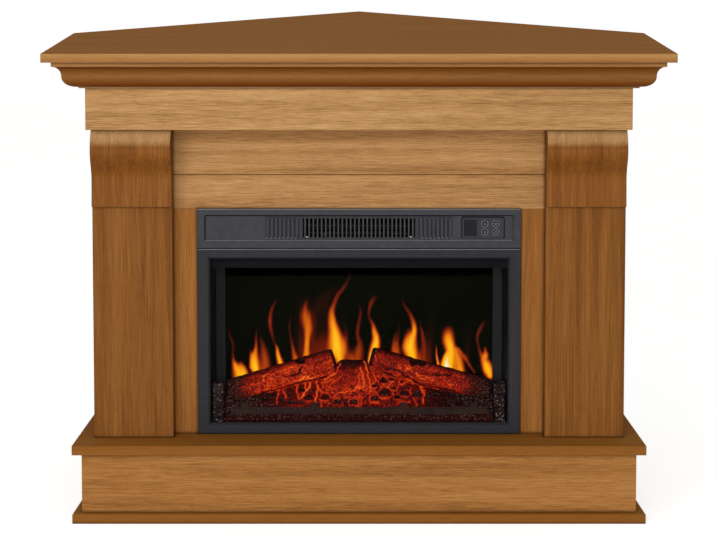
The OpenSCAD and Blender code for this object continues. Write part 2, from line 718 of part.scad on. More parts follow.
// Splayed side plates whose flanges hold the screen
reveal_y = panel_y + glass_t + 2;
module side_reveals() color("#1b1b1d") placed() both() plate([
    [inner_half_w - sheet_t, reveal_y], [inner_half_w, reveal_y], [inner_half_w - splay, screen_y],
    [inner_half_w - splay - reveal_flange, screen_y],
    [inner_half_w - splay - reveal_flange, screen_y - sheet_t],
    [inner_half_w - splay - sheet_t, screen_y - sheet_t]], floor_z, heater_z - floor_z);
module flame_screen() color("#15160f") placed()
    wide(inner_half_w - splay, screen_y, screen_y + screen_t, floor_z, heater_z);

// Section of the ember bed, widened by g: a skirt, the ledge for the grate bar, a lip and a rising top
bed_rear = bed_y + bed_d;
bed_lip_z = bar_seat_z + bed_lip_h;
function bed_section(g) = [
    [bed_y - g, floor_z], [bed_y - g, bar_seat_z + g], [bed_y + bar_ledge - g, bar_seat_z + g],
    [bed_y + bar_ledge - g, bed_lip_z + g], [bed_y + bed_d * 0.45, bed_lip_z + bed_rise * 0.7 + g],
    [bed_rear + g, bed_lip_z + bed_rise + g], [bed_rear + g, floor_z]];
module bed_run(section, half) translate([-half, 0, 0]) rotate([90, 0, 90])
    linear_extrude(2 * half) polygon(section);
module ember_bed() color("#7a1d10") placed() difference() {
    bed_run(bed_section(0), bed_half_w);
    bed_run(concat([for (p = bed_section(-bed_wall)) p[1] > floor_z ? p : [p[0], floor_z - over]]),
        bed_half_w - bed_wall);
}

// A log between two points, from radius r0 to r1
module log_between(a, b, r0, r1) let (d = b - a, l = norm(d))
    translate(a) rotate([0, acos(d[2] / l), atan2(d[1], d[0])]) cylinder(h = l, r1 = r0, r2 = r1);
// Height of the bed's top where the logs lie
log_y = bed_y + bed_d * 0.62;
log_low_x = bed_half_w - 4;
log_low_z = bed_lip_z + bed_rise * 0.9;
log_high_z = bed_lip_z + bed_rise + log_rise;
module side_log(high_x) difference() {
    log_between([log_low_x, log_y, log_low_z], [high_x, log_y, log_high_z], log_tip_r, log_r);
    bed_run(bed_section(seat_gap), bed_half_w + over);
    // The log stops short of the side plates and of the screen
    block(bed_half_w - seat_gap, insert_w, 0, depth, 0, shelf_z);
    wide(insert_w, screen_y - sheet_t - seat_gap, depth, 0, shelf_z);
}
module stump(g) translate([-stump_offset, 0, 0])
    log_between([-stump_lean, bed_y + bar_ledge + stump_r * 0.55, bar_seat_z + 4],
        [0, bed_y + bed_d * 0.74, log_high_z - 10], stump_r + g, stump_top_r + g);
// Both side logs end against the centre log
module left_log() color("#7c1c12") placed() difference() {
    left() side_log(left_log_end);
    stump(seat_gap);
}
module right_log() color("#7c1c12") placed() difference() {
    side_log(right_log_end);
    stump(seat_gap);
}
module centre_log() color("#8a2412") placed() difference() {
    stump(0);
    bed_run(bed_section(seat_gap), bed_half_w + over);
    wide(insert_w, 0, bed_y + bar_ledge, 0, shelf_z);
    wide(insert_w, screen_y - sheet_t - seat_gap, depth, 0, shelf_z);
}

// The grate bar stands on the bed's ledge, with lugs along its top
lug_w = 14;
lug_places = [-0.857, -0.33, 0.33, 0.857];
grate_t = bar_ledge - 2;
module grate_bar() color("#3a302c") placed() {
    wide(bed_half_w - bar_end_gap, bed_y + bar_ledge - grate_t, bed_y + bar_ledge,
        bar_seat_z, bar_seat_z + grate_h);
    for (p = lug_places) let (x = p * bed_half_w)
        block(x - lug_w / 2, x + lug_w / 2, bed_y + bar_ledge - grate_t, bed_y + bar_ledge,
            bar_seat_z + grate_h, bar_seat_z + grate_h + lug_h);
}
brick_d = 44;
module end_bricks() color("#4a3834") placed() both()
    block(bed_half_w + fit_gap, bed_half_w + brick_w, bed_y, bed_y + brick_d, floor_z, floor_z + brick_h);

// ---- Insert: flame effect ----

reflector_pitch = 2 * (rod_half_w - reflector_w) / reflector_count;
// The rod turns in a bush on the left and in its motor on the right
module flame_rod() color("#b9bcc0") placed() {
    rod_x(-rod_half_w - bush_w + 1, rod_half_w + motor_w * 0.6, rod_y, rod_z, shaft_dia);
    for (i = [0:reflector_count - 1])
        translate([(i - (reflector_count - 1) / 2) * reflector_pitch, rod_y, rod_z])
            rotate([i * 55, 0, 0]) cube([reflector_w, 2 * reflector_r, 0.8], center = true);
}
module flame_rod_motor() color("#8d8f93") placed() difference() {
    rod_x(rod_half_w, rod_half_w + motor_w, rod_y, rod_z, motor_dia);
    rod_x(rod_half_w - over, rod_half_w + motor_w - 4, rod_y, rod_z, shaft_dia + 2 * shaft_gap);
}
module shaft_bush(x, y, z) difference() {
    rod_x(x, x + bush_w, y, z, bush_dia);
    rod_x(x - over, x + bush_w + over, y, z, shaft_dia + 2 * shaft_gap);
}
module shaft_bushes() color("#b08d4a") placed() {
    shaft_bush(-rod_half_w - bush_w, rod_y, rod_z);
    shaft_bush(-duct_half_w - bush_w + 2, blower_y, blower_z);
}
// One strip lights the embers, the other the flame rod
strip_t = 1.6;
led_w = 5;
led_pitch = 40;
module light_strip(half, y) {
    wide(half, y, y + strip_w, floor_z, floor_z + strip_t);
    for (x = [-half + led_pitch / 2:led_pitch:half - led_pitch / 2])
        block(x - led_w / 2, x + led_w / 2, y + strip_w / 2 - led_w / 2, y + strip_w / 2 + led_w / 2,
            floor_z + strip_t, floor_z + strip_t + 2);
}
module light_strips() color("#e8e2c8") placed() {
    light_strip(bed_half_w - led_pitch, bed_y + bed_d / 2);
    light_strip(rod_half_w - sheet_t - led_w, rod_y - strip_w / 2);
}

// ---- Insert: heater ----

motor_bore = bush_dia;
module blower_housing() color("#9a9da1") placed() {
    // Duct floor between the grille and the drum
    wide(duct_half_w, panel_y, blower_y - shell_r, duct_z, duct_z + sheet_t);
    // Shell round the back of the drum, open below for the air
    intersection() {
        difference() {
            rod_x(-duct_half_w, duct_half_w, blower_y, blower_z, 2 * (shell_r + sheet_t));
            rod_x(-duct_half_w - over, duct_half_w + over, blower_y, blower_z, 2 * shell_r);
        }
        wide(duct_half_w, blower_y, blower_y + 2 * shell_r, blower_z - shell_r * 0.5, ceiling_z);
    }
    // End plates, notched over the heater shelf's upstand
    difference() {
        both() union() {
            block(duct_half_w, duct_half_w + sheet_t, panel_y, blower_y, duct_z, ceiling_z);
            block(duct_half_w, duct_half_w + sheet_t, upstand_y + sheet_t, blower_y + shell_r + 4,
                heater_z + sheet_t, ceiling_z);
        }
        rod_x(-duct_half_w - 2 * sheet_t, -duct_half_w + over, blower_y, blower_z, bush_dia);
        rod_x(duct_half_w - over, duct_half_w + 2 * sheet_t, blower_y, blower_z, motor_bore);
    }
}
blade_d = 9;
rim = 0.6;
motor_x = duct_half_w + sheet_t;
blower_motor_w = 38;
module blower_drum() color("#c4c7ca") placed() {
    rod_x(-duct_half_w - bush_w + 3, motor_x + blower_motor_w - 6, blower_y, blower_z, shaft_dia);
    for (x = [-drum_w / 2, -1, drum_w / 2 - 2]) rod_x(x, x + 2, blower_y, blower_z, drum_dia);
    for (i = [0:blade_count - 1]) translate([-drum_w / 2, blower_y, blower_z])
        rotate([i * 360 / blade_count, 0, 0]) translate([0, drum_dia / 2 - blade_d, 0])
            cube([drum_w, blade_d - rim, 1]);
}
// Shaded-pole motor: a laminated core and a coil, screwed to the blower's right end plate
core_w = 22;
core_half = 21;
module blower_motor() color("#6f665c") placed() difference() {
    union() {
        block(motor_x, motor_x + blower_motor_w - core_w, blower_y - core_half, blower_y + core_half,
            blower_z - 12, blower_z + 12);
        block(motor_x + blower_motor_w - core_w, motor_x + blower_motor_w, blower_y - core_half,
            blower_y + core_half, blower_z - core_half - 6, blower_z + core_half);
        rod_x(motor_x + 10, motor_x + blower_motor_w + 6, blower_y, blower_z - core_half - 4, 24);
    }
    rod_x(motor_x - over, motor_x + blower_motor_w - 4, blower_y, blower_z, shaft_dia + 2 * shaft_gap);
}

// Wires strung between two upright insulating boards, held by bright pins
element_y = panel_y + 16;
element_d = 20;
element_z = duct_z + sheet_t;
element_h = bar_h;
mica_t = 4;
module heating_element() color("#b9a68a") placed() {
    both() block(duct_half_w - mica_t, duct_half_w, element_y, element_y + element_d,
        element_z, element_z + element_h);
    both() block(duct_half_w - 3.5 * mica_t, duct_half_w - 2.5 * mica_t, element_y, element_y + element_d,
        element_z, element_z + element_h);
    for (i = [0:wire_rows - 1], j = [0.25, 0.75])
        rod_x(-duct_half_w, duct_half_w, element_y + element_d * j,
            element_z + element_h * (i + 0.5) / wire_rows, wire_dia);
}
cutout_y = element_y + 2 * element_d;
module thermal_cutout() color("#d8d8d4") placed() translate([-duct_half_w * 0.58, cutout_y, element_z]) {
    cylinder(h = 6, d = 15);
    cylinder(h = 9, d = 9);
}

// ---- Insert: inlet and fixings ----

// The mains inlet holds the supply lead where it enters the rear cover
inlet_flange = inlet_barrel + 8;
module mains_inlet() color("#18181a") placed() difference() {
    union() {
        rod_y(inlet_x, housing_rear - 8, housing_rear + sheet_t, inlet_z, inlet_barrel);
        rod_y(inlet_x, housing_rear + sheet_t, housing_rear + sheet_t + 14, inlet_z, inlet_flange);
    }
    rod_y(inlet_x, housing_rear - 8 - over, housing_rear + sheet_t + 14 + over, inlet_z, inlet_bore);
}
bracket_t = 1.5;
module mounting_brackets() color("#8d8f93") placed() both() difference() {
    union() {
        block(housing_half_w, housing_half_w + bracket_t, panel_rear, panel_rear + bracket_leg,
            bracket_z - bracket_h / 2, bracket_z + bracket_h / 2);
        block(housing_half_w, housing_half_w + bracket_leg, panel_rear, panel_rear + bracket_t,
            bracket_z - bracket_h / 2, bracket_z + bracket_h / 2);
    }
    for (p = bracket_points) rod_y(p[0], panel_rear - over, panel_rear + bracket_t + over, p[1], screw_hole);
}
module screw(x, y, z) {
    rod_y(x, y, y + 2, z, screw_head_dia);
    rod_y(x, y - screw_l, y, z, screw_dia);
}
module fixing_screws() color("#a9abae") placed() {
    both() for (p = bracket_points) screw(p[0], panel_rear + bracket_t, p[1]);
    for (p = cover_points) screw(p[0], housing_rear + sheet_t, p[1]);
}

top_shelf();
crown_front();
crown_left();
crown_right();
frieze_front();
frieze_left();
frieze_right();
frieze_soffit();
upper_panel_board();
lower_panel_board();
left_inner_stile();
right_inner_stile();
left_pilaster();
right_pilaster();
left_corbel();
right_corbel();
left_side_panel();
right_side_panel();
hearth_slab();
plinth_front();
plinth_left();
plinth_right();
plinth_back();
base_slab();
rear_frame();
firebox_housing();
rear_cover();
heater_shelf();
heater_trim();
air_grille();
control_panel();
display_window();
power_button();
heat_button();
flame_button();
timer_button();
control_board();
glass_frame();
glass_pane();
side_reveals();
flame_screen();
ember_bed();
left_log();
right_log();
centre_log();
grate_bar();
end_bricks();
flame_rod();
flame_rod_motor();
shaft_bushes();
light_strips();
blower_housing();
blower_drum();
blower_motor();
heating_element();
thermal_cutout();
mains_inlet();
mounting_brackets();
fixing_screws();
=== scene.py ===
import json
import math

import bmesh
import bpy
import numpy as np
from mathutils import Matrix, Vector, noise


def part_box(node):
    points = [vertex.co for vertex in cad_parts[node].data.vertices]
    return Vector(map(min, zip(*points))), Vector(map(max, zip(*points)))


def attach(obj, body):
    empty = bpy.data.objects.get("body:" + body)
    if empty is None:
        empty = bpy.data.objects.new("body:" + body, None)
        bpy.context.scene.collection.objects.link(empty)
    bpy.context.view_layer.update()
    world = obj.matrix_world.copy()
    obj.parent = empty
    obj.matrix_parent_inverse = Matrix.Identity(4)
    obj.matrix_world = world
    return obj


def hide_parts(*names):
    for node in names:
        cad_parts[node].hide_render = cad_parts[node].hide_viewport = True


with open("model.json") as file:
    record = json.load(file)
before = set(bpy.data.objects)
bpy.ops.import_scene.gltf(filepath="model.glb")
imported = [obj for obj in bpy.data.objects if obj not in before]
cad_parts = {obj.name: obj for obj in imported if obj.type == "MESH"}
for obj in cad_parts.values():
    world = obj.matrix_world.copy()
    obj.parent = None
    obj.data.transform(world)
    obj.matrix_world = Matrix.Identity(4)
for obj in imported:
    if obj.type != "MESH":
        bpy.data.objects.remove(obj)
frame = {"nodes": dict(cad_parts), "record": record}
nodes, record = frame["nodes"], frame["record"]
bodyOf = {node: body for body, held in record["behaviour"]["bodies"].items() for node in held}
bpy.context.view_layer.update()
mm = 0.001
depthHalf = 0.55  # a depth behind the shelf's front edge, less this, is the row frame's Y
print("Frame loaded,", len(nodes), "CAD nodes")


# Helpers for colours, places, nodes and pieces

def linearColor(hexCode, alpha=1.0):
    parts = [int(hexCode[i:i + 2], 16) / 255 for i in (1, 3, 5)]
    return [c / 12.92 if c <= 0.04045 else ((c + 0.055) / 1.055) ** 2.4 for c in parts] + [alpha]


def inFrame(x, depth, z):
    # From X, depth behind the shelf's front edge and Z, in mm, to a place in the row frame
    return x * mm, depth * mm - depthHalf, z * mm


def feed(node, inputs):
    # inputs holds plain values, sockets that feed the node, or nodes whose first live output does
    for socket, value in inputs.items():
        if isinstance(value, bpy.types.Node):
            value = next(output for output in value.outputs if output.enabled)
        if isinstance(value, bpy.types.NodeSocket):
            node.id_data.links.new(value, node.inputs[socket])
        else:
            node.inputs[socket].default_value = value


def addNode(tree, kind, inputs=None, stops=None, **settings):
    # Adds one node; stops are the colours of a ramp
    node = tree.nodes.new(kind)
    for name, value in settings.items():
        setattr(node, name, value)
    feed(node, inputs or {})
    if stops:
        ramp = node.color_ramp
        while len(ramp.elements) < len(stops):
            ramp.elements.new(1.0)
        for element, (place, code) in zip(ramp.elements, stops):
            element.position, element.color = place, linearColor(code)
    return node


def newMaterial(name, plain):
    # plain holds the values that are the same all over the surface
    material = bpy.data.materials.new(name)
    material.use_nodes = True
    tree = material.node_tree
    shader = tree.nodes["Principled BSDF"]
    feed(shader, plain)
    return material, tree, shader


def dress(material, *names):
    for name in names:
        mesh = nodes[name].data
        mesh.materials.clear()
        mesh.materials.append(material)


def addObject(name, data):
    added = bpy.data.objects.new(name, data)
    bpy.context.scene.collection.objects.link(added)
    return added


def settled(draft, name):
    # The plain mesh of an object and its modifiers; the object itself goes
    mesh = bpy.data.meshes.new_from_object(draft.evaluated_get(bpy.context.evaluated_depsgraph_get()))
    mesh.name = name
    draft.modifiers.clear()
    bpy.data.objects.remove(draft)
    return mesh


def newPiece(name, mesh, material, node, replaces=True):
    # node is the CAD node that the piece stands for, or else the one that it is fixed to
    piece = addObject(name, mesh)
    mesh.materials.clear()
    mesh.materials.append(material)
    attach(piece, bodyOf[node])
    if replaces:
        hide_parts(node)


def solidMesh(name, verts, faces, smooth=True, sharpest=None):
    # A closed mesh whose faces point outwards; edges past the sharpest angle, in degrees, stay sharp
    mesh = bpy.data.meshes.new(name)
    mesh.from_pydata(verts, [], faces)
    bm = bmesh.new()
    bm.from_mesh(mesh)
    bmesh.ops.recalc_face_normals(bm, faces=bm.faces)
    bm.to_mesh(mesh)
    bm.free()
    if smooth:
        mesh.shade_smooth()
    if sharpest:
        mesh.set_sharp_from_angle(angle=math.radians(sharpest))
    return mesh


def paintedCornerShade(tree, colour, reach, deepest):
    # Painted shade: the colour darkens in inner corners and joints, where less light reaches, as ambient
    # occlusion finds them
    openness = addNode(tree, "ShaderNodeAmbientOcclusion", {"Distance": reach}, samples=8)
    share = addNode(tree, "ShaderNodeMapRange", {
        "Value": openness.outputs["AO"], "From Min": 0.45, "From Max": 0.92,
        "To Min": deepest, "To Max": 1.0})
    return addNode(tree, "ShaderNodeVectorMath", {0: colour, "Scale": share}, operation="SCALE")


# Wood: oak veneer on board, stained and sprayed with a satin lacquer.
# The eye sees fine straight streaks along the grain, slow bands of tone, and short dark pores.
veneerLook = {
    "streakWidth": 1.7 * mm,    # real streaks are nearer 1 mm; drawn as wide as the render can show
    "streakLength": 52 * mm,    # on a board laid across
    "uprightLength": 120 * mm,  # on an upright board
    "bandWidth": 17 * mm,
    "bandLength": 700 * mm,
    "poreWidth": 1.1 * mm,
    "poreLength": 14 * mm,
    "waver": 3 * mm,            # how far a streak wanders off its line
    "poreDepth": 0.12 * mm,
    "corners": (8 * mm, 0.22),  # how far from an inner corner the painted shade reaches, and how dark it gets
    "streakShare": 0.62,        # how much of the tone the streaks make, against the bands
    "toneSpread": 0.17,
    "poreStrength": 0.55,
}


def oakVeneer(name, dark, mid, light, grain, contrast=1.0, paintedUpFacingLight=None, paintedShadeByHeight=None,
              sheen=0.08, wrap=1):
    # paintedUpFacingLight is the colour of faces that look up, painted darker or lighter than the rest:
    # painted light and shade by which way a face looks.
    # paintedShadeByHeight is painted shade multiplied in by height, for a moulding's hollows and a rounded
    # edge: a low and a high Z, and colours between them.
    # wrap widens the streaks from front to back, for grain that follows a curved front.
    look = veneerLook
    material, tree, shader = newMaterial(name, {"IOR": 1.5, "Specular IOR Level": sheen})
    axis = "xyz".index(grain)

    def stretched(across, along):
        sizes = [1 / across] * 3
        sizes[axis] = 1 / along
        sizes[1] /= wrap
        return addNode(tree, "ShaderNodeMapping", {"Vector": warped, "Scale": sizes})

    place = addNode(tree, "ShaderNodeTexCoord")
    drift = addNode(tree, "ShaderNodeTexNoise", {
        "Vector": place.outputs["Object"], "Scale": 5.0, "Detail": 2.0})
    offset = addNode(tree, "ShaderNodeVectorMath", {
        0: drift.outputs["Color"], 1: (look["waver"],) * 3, 2: (-look["waver"] / 2,) * 3},
        operation="MULTIPLY_ADD")
    warped = addNode(tree, "ShaderNodeVectorMath", {
        0: place.outputs["Object"], 1: offset}, operation="ADD")
    streak = addNode(tree, "ShaderNodeTexNoise", {
        "Vector": stretched(look["streakWidth"], look["uprightLength" if grain == "z" else "streakLength"]),
        "Scale": 1.0, "Detail": 3.0, "Roughness": 0.62})
    band = addNode(tree, "ShaderNodeTexNoise", {
        "Vector": stretched(look["bandWidth"], look["bandLength"]),
        "Scale": 1.0, "Detail": 2.0, "Roughness": 0.5})
    pore = addNode(tree, "ShaderNodeTexNoise", {
        "Vector": stretched(look["poreWidth"], look["poreLength"]),
        "Scale": 1.0, "Detail": 1.0})
    poreMask = addNode(tree, "ShaderNodeMapRange", {
        "Value": pore, "From Min": 0.58, "From Max": 0.72}, interpolation_type="SMOOTHSTEP")
    tone = addNode(tree, "ShaderNodeMath", {
        0: streak, 1: look["streakShare"], 2: 0.0}, operation="MULTIPLY_ADD")
    bandShare = addNode(tree, "ShaderNodeMath", {
        0: band, 1: 1 - look["streakShare"], 2: tone}, operation="MULTIPLY_ADD")
    half = look["toneSpread"] / contrast
    colour = addNode(tree, "ShaderNodeValToRGB", {"Fac": bandShare},
                     stops=[(0.5 - half, dark), (0.5, mid), (0.5 + half, light)])
    stained = colour
    # Painted light and shade: faces that look up get their own tones
    if paintedUpFacingLight:
        facing = addNode(tree, "ShaderNodeSeparateXYZ", {"Vector": place.outputs["Normal"]})
        lifted = addNode(tree, "ShaderNodeMapRange", {
            "Value": facing.outputs["Z"], "From Min": paintedUpFacingLight[0], "From Max": paintedUpFacingLight[1]},
            interpolation_type="SMOOTHSTEP")
        second = addNode(tree, "ShaderNodeValToRGB", {"Fac": bandShare},
                         stops=[(0.5 - half, paintedUpFacingLight[2]), (0.5 + half, paintedUpFacingLight[3])])
        both = addNode(tree, "ShaderNodeMix", {0: lifted, 6: stained, 7: second}, data_type="RGBA")
        stained = both
    # Painted shade, multiplied in by height
    if paintedShadeByHeight:
        level = addNode(tree, "ShaderNodeSeparateXYZ", {"Vector": place.outputs["Object"]})
        share = addNode(tree, "ShaderNodeMapRange", {
            "Value": level.outputs["Z"], "From Min": paintedShadeByHeight[0], "From Max": paintedShadeByHeight[1]})
        shadeBand = addNode(tree, "ShaderNodeValToRGB", {"Fac": share}, stops=paintedShadeByHeight[2])
        shadedBands = addNode(tree, "ShaderNodeMix", {
            0: 1.0, 6: stained, 7: shadeBand}, data_type="RGBA", blend_type="MULTIPLY")
        stained = shadedBands
    poreTint = addNode(tree, "ShaderNodeMix", {
        0: poreMask, 6: (1, 1, 1, 1), 7: (0.62, 0.55, 0.48, 1)}, data_type="RGBA")
    poreShade = addNode(tree, "ShaderNodeMix", {
        0: look["poreStrength"] * contrast, 6: stained, 7: poreTint},
        data_type="RGBA", blend_type="MULTIPLY")
    gloss = addNode(tree, "ShaderNodeMapRange", {"Value": streak, "To Min": 0.5, "To Max": 0.66})
    height = addNode(tree, "ShaderNodeMath", {0: streak, 1: poreMask}, operation="SUBTRACT")
    bump = addNode(tree, "ShaderNodeBump", {
        "Height": height, "Strength": 0.5, "Distance": look["poreDepth"]})
    feed(shader, {"Base Color": paintedCornerShade(tree, poreShade, *look["corners"]), "Roughness": gloss,
                  "Normal": bump})
    return material


def coated(name, dark, light, grit, stretch=(1, 1, 1), rough=(0.4, 0.6), bumpDepth=0.03 * mm,
           metallic=0.0, specular=0.4, spots=None, corners=None, front=None):
    # A coated, moulded or rolled surface: two tones and a relief at one grit size.
    # spots are pale specks (tone, spacing, size), corners is painted shade in inner corners as for the
    # veneer, and front is painted light: the tone of forward faces, lighter than the rest.
    material, tree, shader = newMaterial(name, {"Metallic": metallic})
    if not metallic:
        feed(shader, {"Specular IOR Level": specular})
    place = addNode(tree, "ShaderNodeTexCoord")
    sized = addNode(tree, "ShaderNodeMapping", {
        "Vector": place.outputs["Object"], "Scale": [s / grit for s in stretch]})
    fine = addNode(tree, "ShaderNodeTexNoise", {"Vector": sized, "Scale": 1.0, "Detail": 3.0})
    broad = addNode(tree, "ShaderNodeTexNoise", {"Vector": sized, "Scale": 0.06, "Detail": 2.0})
    spread = addNode(tree, "ShaderNodeMath", {0: fine, 1: broad}, operation="ADD")
    colour = addNode(tree, "ShaderNodeMapRange", {"Value": spread, "From Min": 0.76, "From Max": 1.24})
    tones = addNode(tree, "ShaderNodeMix", {
        0: colour, 6: linearColor(dark), 7: linearColor(light)}, data_type="RGBA")
    shown = tones
    if spots:
        speck = addNode(tree, "ShaderNodeTexVoronoi", {
            "Vector": place.outputs["Object"], "Scale": 1 / spots[1], "Randomness": 1.0})
        mask = addNode(tree, "ShaderNodeMapRange", {
            "Value": speck, "From Min": spots[2], "From Max": spots[2] * 0.5})
        mix = addNode(tree, "ShaderNodeMix", {
            0: mask, 6: shown, 7: linearColor(spots[0])}, data_type="RGBA")
        shown = mix
    # Painted light: forward faces take a lighter tone than the rest
    if front:
        facing = addNode(tree, "ShaderNodeSeparateXYZ", {"Vector": place.outputs["Normal"]})
        forward = addNode(tree, "ShaderNodeMapRange", {
            "Value": facing.outputs["Y"], "From Min": -0.8, "From Max": -0.98})
        shown = addNode(tree, "ShaderNodeMix", {
            0: forward, 6: shown, 7: linearColor(front)}, data_type="RGBA")
    if corners:
        shown = paintedCornerShade(tree, shown, *corners)
    gloss = addNode(tree, "ShaderNodeMapRange", {
        "Value": spread, "From Min": 0.6, "From Max": 1.4,
        "To Min": rough[0], "To Max": rough[1]})
    bump = addNode(tree, "ShaderNodeBump", {"Height": fine, "Strength": 0.6, "Distance": bumpDepth})
    feed(shader, {"Base Color": shown, "Roughness": gloss, "Normal": bump})
    return material


# Stains: each board's dark, middle and light tone
oakFrieze = oakVeneer("oakFriezeAcross", "#8b6033", "#b78954", "#cfa46c", "x")
oakFriezeReturn = oakVeneer("oakFriezeReturn", "#8b6033", "#b78954", "#cfa46c", "y")
oakPanel = oakVeneer("oakPanelAcross", "#875c2f", "#b3834f", "#ca9c66", "x")
oakStile = oakVeneer("oakStileUpright", "#754917", "#9a622a", "#af763b", "z")
oakPilaster = oakVeneer("oakPilasterUpright", "#643a11", "#855220", "#99642c", "z")
# The corbels' faces that look up are painted lighter: a painted highlight on the crest
oakCorbel = oakVeneer("oakCorbelUpright", "#643a12", "#86511f", "#996229", "z",
                      paintedUpFacingLight=(0.3, 1.0, "#cfa067", "#f4ca92"), wrap=8)
oakSide = oakVeneer("oakSideUpright", "#704619", "#956029", "#a8743c", "z")
oakPlinth = oakVeneer("oakPlinthAcross", "#7e5124", "#a87138", "#bd874c", "x")
oakPlinthReturn = oakVeneer("oakPlinthReturn", "#7e5124", "#a87138", "#bd874c", "y")
# The shelf's top is painted darker than its edge: painted shade on the face that looks up
oakShelf = oakVeneer("oakShelfAcross", "#9d703c", "#b3864f", "#c1965e", "x", contrast=0.6,
                     paintedUpFacingLight=(0.5, 0.9, "#8b571f", "#c98742"), sheen=0.003,
                     # The shelf's rounded edge is painted darker towards its bottom: painted shade
                     paintedShadeByHeight=(0.942, 0.96, [(0.1, "#e4d0ce"), (0.75, "#ffffff")]))
# The crown's curves are painted darker than its square edges: painted shade in the cove and the low curves
crownPaintedShade = (0.885, 0.942, [(0.045, "#ffffff"), (0.06, "#9c6b16"), (0.16, "#a2731f"), (0.47, "#cdb48e"),
                             (0.7, "#a9863f"), (0.815, "#9e6c12"), (0.835, "#e8d8ba")])
oakCrown = oakVeneer("oakCrownAcross", "#93683c", "#af8559", "#bf9668", "x", contrast=0.7, paintedShadeByHeight=crownPaintedShade)
oakCrownReturn = oakVeneer("oakCrownReturn", "#93683c", "#af8559", "#bf9668", "y", contrast=0.7,
                           paintedShadeByHeight=crownPaintedShade)
# The hearth's top has its own, lighter tones: painted light on the face that looks up
oakHearth = oakVeneer("oakHearthAcross", "#7e4f20", "#905c28", "#9d6833", "x", contrast=0.6,
                      paintedUpFacingLight=(0.5, 0.9, "#88581f", "#bb7e38"), sheen=0.003)
print("Veneers ready")

# Coatings, plastics and metals

# Fine-texture powder coat on sheet steel: a matt charcoal with a faint grain
# Painted shade in the trims' inner corners and recesses: how far it reaches and how dark it gets
trimCornerShade = (6 * mm, 0.2)
powderCoat = coated("powderCoatedSteel", "#363639", "#404045", 0.9 * mm, rough=(0.42, 0.58),
                    bumpDepth=0.03 * mm, specular=0.1, corners=trimCornerShade)
frameCoat = coated("frameCoatedSteel", "#262629", "#2d2d31", 0.9 * mm, rough=(0.42, 0.58),
                   bumpDepth=0.03 * mm, specular=0.1, corners=trimCornerShade)
# The same coat painted pale along an edge: a painted highlight where the edge catches the light
paintedHighlightCoat = coated("paintedHighlightCoat", "#5c5c62", "#74747a", 2.5 * mm, rough=(0.3, 0.4), specular=0.3)
# Moulded ABS with a light spark-eroded texture
mouldedPlastic = coated("mouldedAbs", "#2d2d31", "#35353a", 0.7 * mm, rough=(0.4, 0.52), bumpDepth=0.02 * mm,
                        specular=0.12, corners=trimCornerShade)
buttonPlastic = coated("buttonAbs", "#141417", "#1b1b1f", 0.5 * mm, rough=(0.34, 0.46), bumpDepth=0.01 * mm,
                       specular=0.1)
# Tinted acrylic over the display: nearly black and glossy
windowPlastic = coated("tintedAcrylic", "#1f1f23", "#242428", 2 * mm, rough=(0.12, 0.2), bumpDepth=0.005 * mm,
                       specular=0.03)
# Pad-printed ink, pale grey and matt
printInk = coated("padPrintInk", "#808084", "#98989c", 0.6 * mm, rough=(0.6, 0.75), specular=0.2)
# Heat-proof black paint inside the firebox: very matt; near black, with forward faces painted lighter:
# painted light and shade by which way a face looks
blackPaint = coated("heatProofPaint", "#060607", "#0a0a0c", 0.8 * mm, rough=(0.75, 0.9), specular=0.01,
                    front="#1b1b1e")
# Sheet paint on the side reveals: near black, with forward faces painted lighter: painted light and shade by
# which way a face looks
revealPaint = coated("revealSheetPaint", "#0d0d10", "#131317", 0.8 * mm, rough=(0.6, 0.75), specular=0.02,
                     front="#2a2a2d")
housingPaint = coated("housingSheetPaint", "#141417", "#1c1c20", 1.2 * mm, rough=(0.55, 0.7), specular=0.05)
# Raw particle board and softwood behind the veneer
particleBoard = coated("particleBoard", "#8a6a44", "#b8966a", 3.5 * mm, rough=(0.8, 0.92), bumpDepth=0.2 * mm,
                       specular=0.15)
softwood = coated("sawnSpruce", "#a67f50", "#c9a676", 2.5 * mm, stretch=(1, 1, 0.05), rough=(0.75, 0.9),
                  bumpDepth=0.15 * mm, specular=0.15)
# Zinc coating with its spangle, bright steel, aluminium, bronze
galvanised = coated("galvanisedSteel", "#8d9196", "#b4b8bc", 7 * mm, rough=(0.32, 0.5), metallic=0.9,
                    bumpDepth=0.02 * mm)
brightSteel = coated("polishedSteel", "#b9bcc0", "#d2d4d6", 1.5 * mm, stretch=(0.1, 1, 1), rough=(0.18, 0.3),
                     metallic=1.0, bumpDepth=0.01 * mm)
# The blower drum's aluminium is painted near black: painted shade for a drum deep in the housing
shadedDrumAluminium = coated("shadedDrumAluminium", "#1c1c1d", "#2e2e30", 1.2 * mm, stretch=(0.05, 1, 1),
                        rough=(0.7, 0.85), specular=0.05, bumpDepth=0.02 * mm)
ductSteel = coated("sootedDuctSteel", "#141415", "#202022", 4 * mm, rough=(0.7, 0.85), specular=0.05)
sinteredBronze = coated("sinteredBronze", "#7d5f2e", "#a3824a", 0.6 * mm, rough=(0.45, 0.6), metallic=0.9)
motorSteel = coated("motorCanSteel", "#6c6e72", "#8e9094", 2 * mm, rough=(0.35, 0.5), metallic=0.9)
laminated = coated("laminatedCore", "#4e4a46", "#75706a", 0.8 * mm, stretch=(1, 0.1, 0.1), rough=(0.5, 0.65),
                   metallic=0.4)
circuitGreen = coated("solderMask", "#123d24", "#1d5734", 2 * mm, rough=(0.3, 0.4))
stripWhite = coated("lightStripMask", "#d9d3ba", "#efe9d2", 3 * mm, rough=(0.4, 0.5))
micaBoard = coated("scorchedMica", "#191613", "#28231e", 2 * mm, rough=(0.7, 0.85), specular=0.05,
                   spots=("#3f382e", 4 * mm, 0.2))
dustyCeramic = coated("unglazedCeramic", "#4b4945", "#5b5853", 1.5 * mm, rough=(0.7, 0.85), specular=0.2)
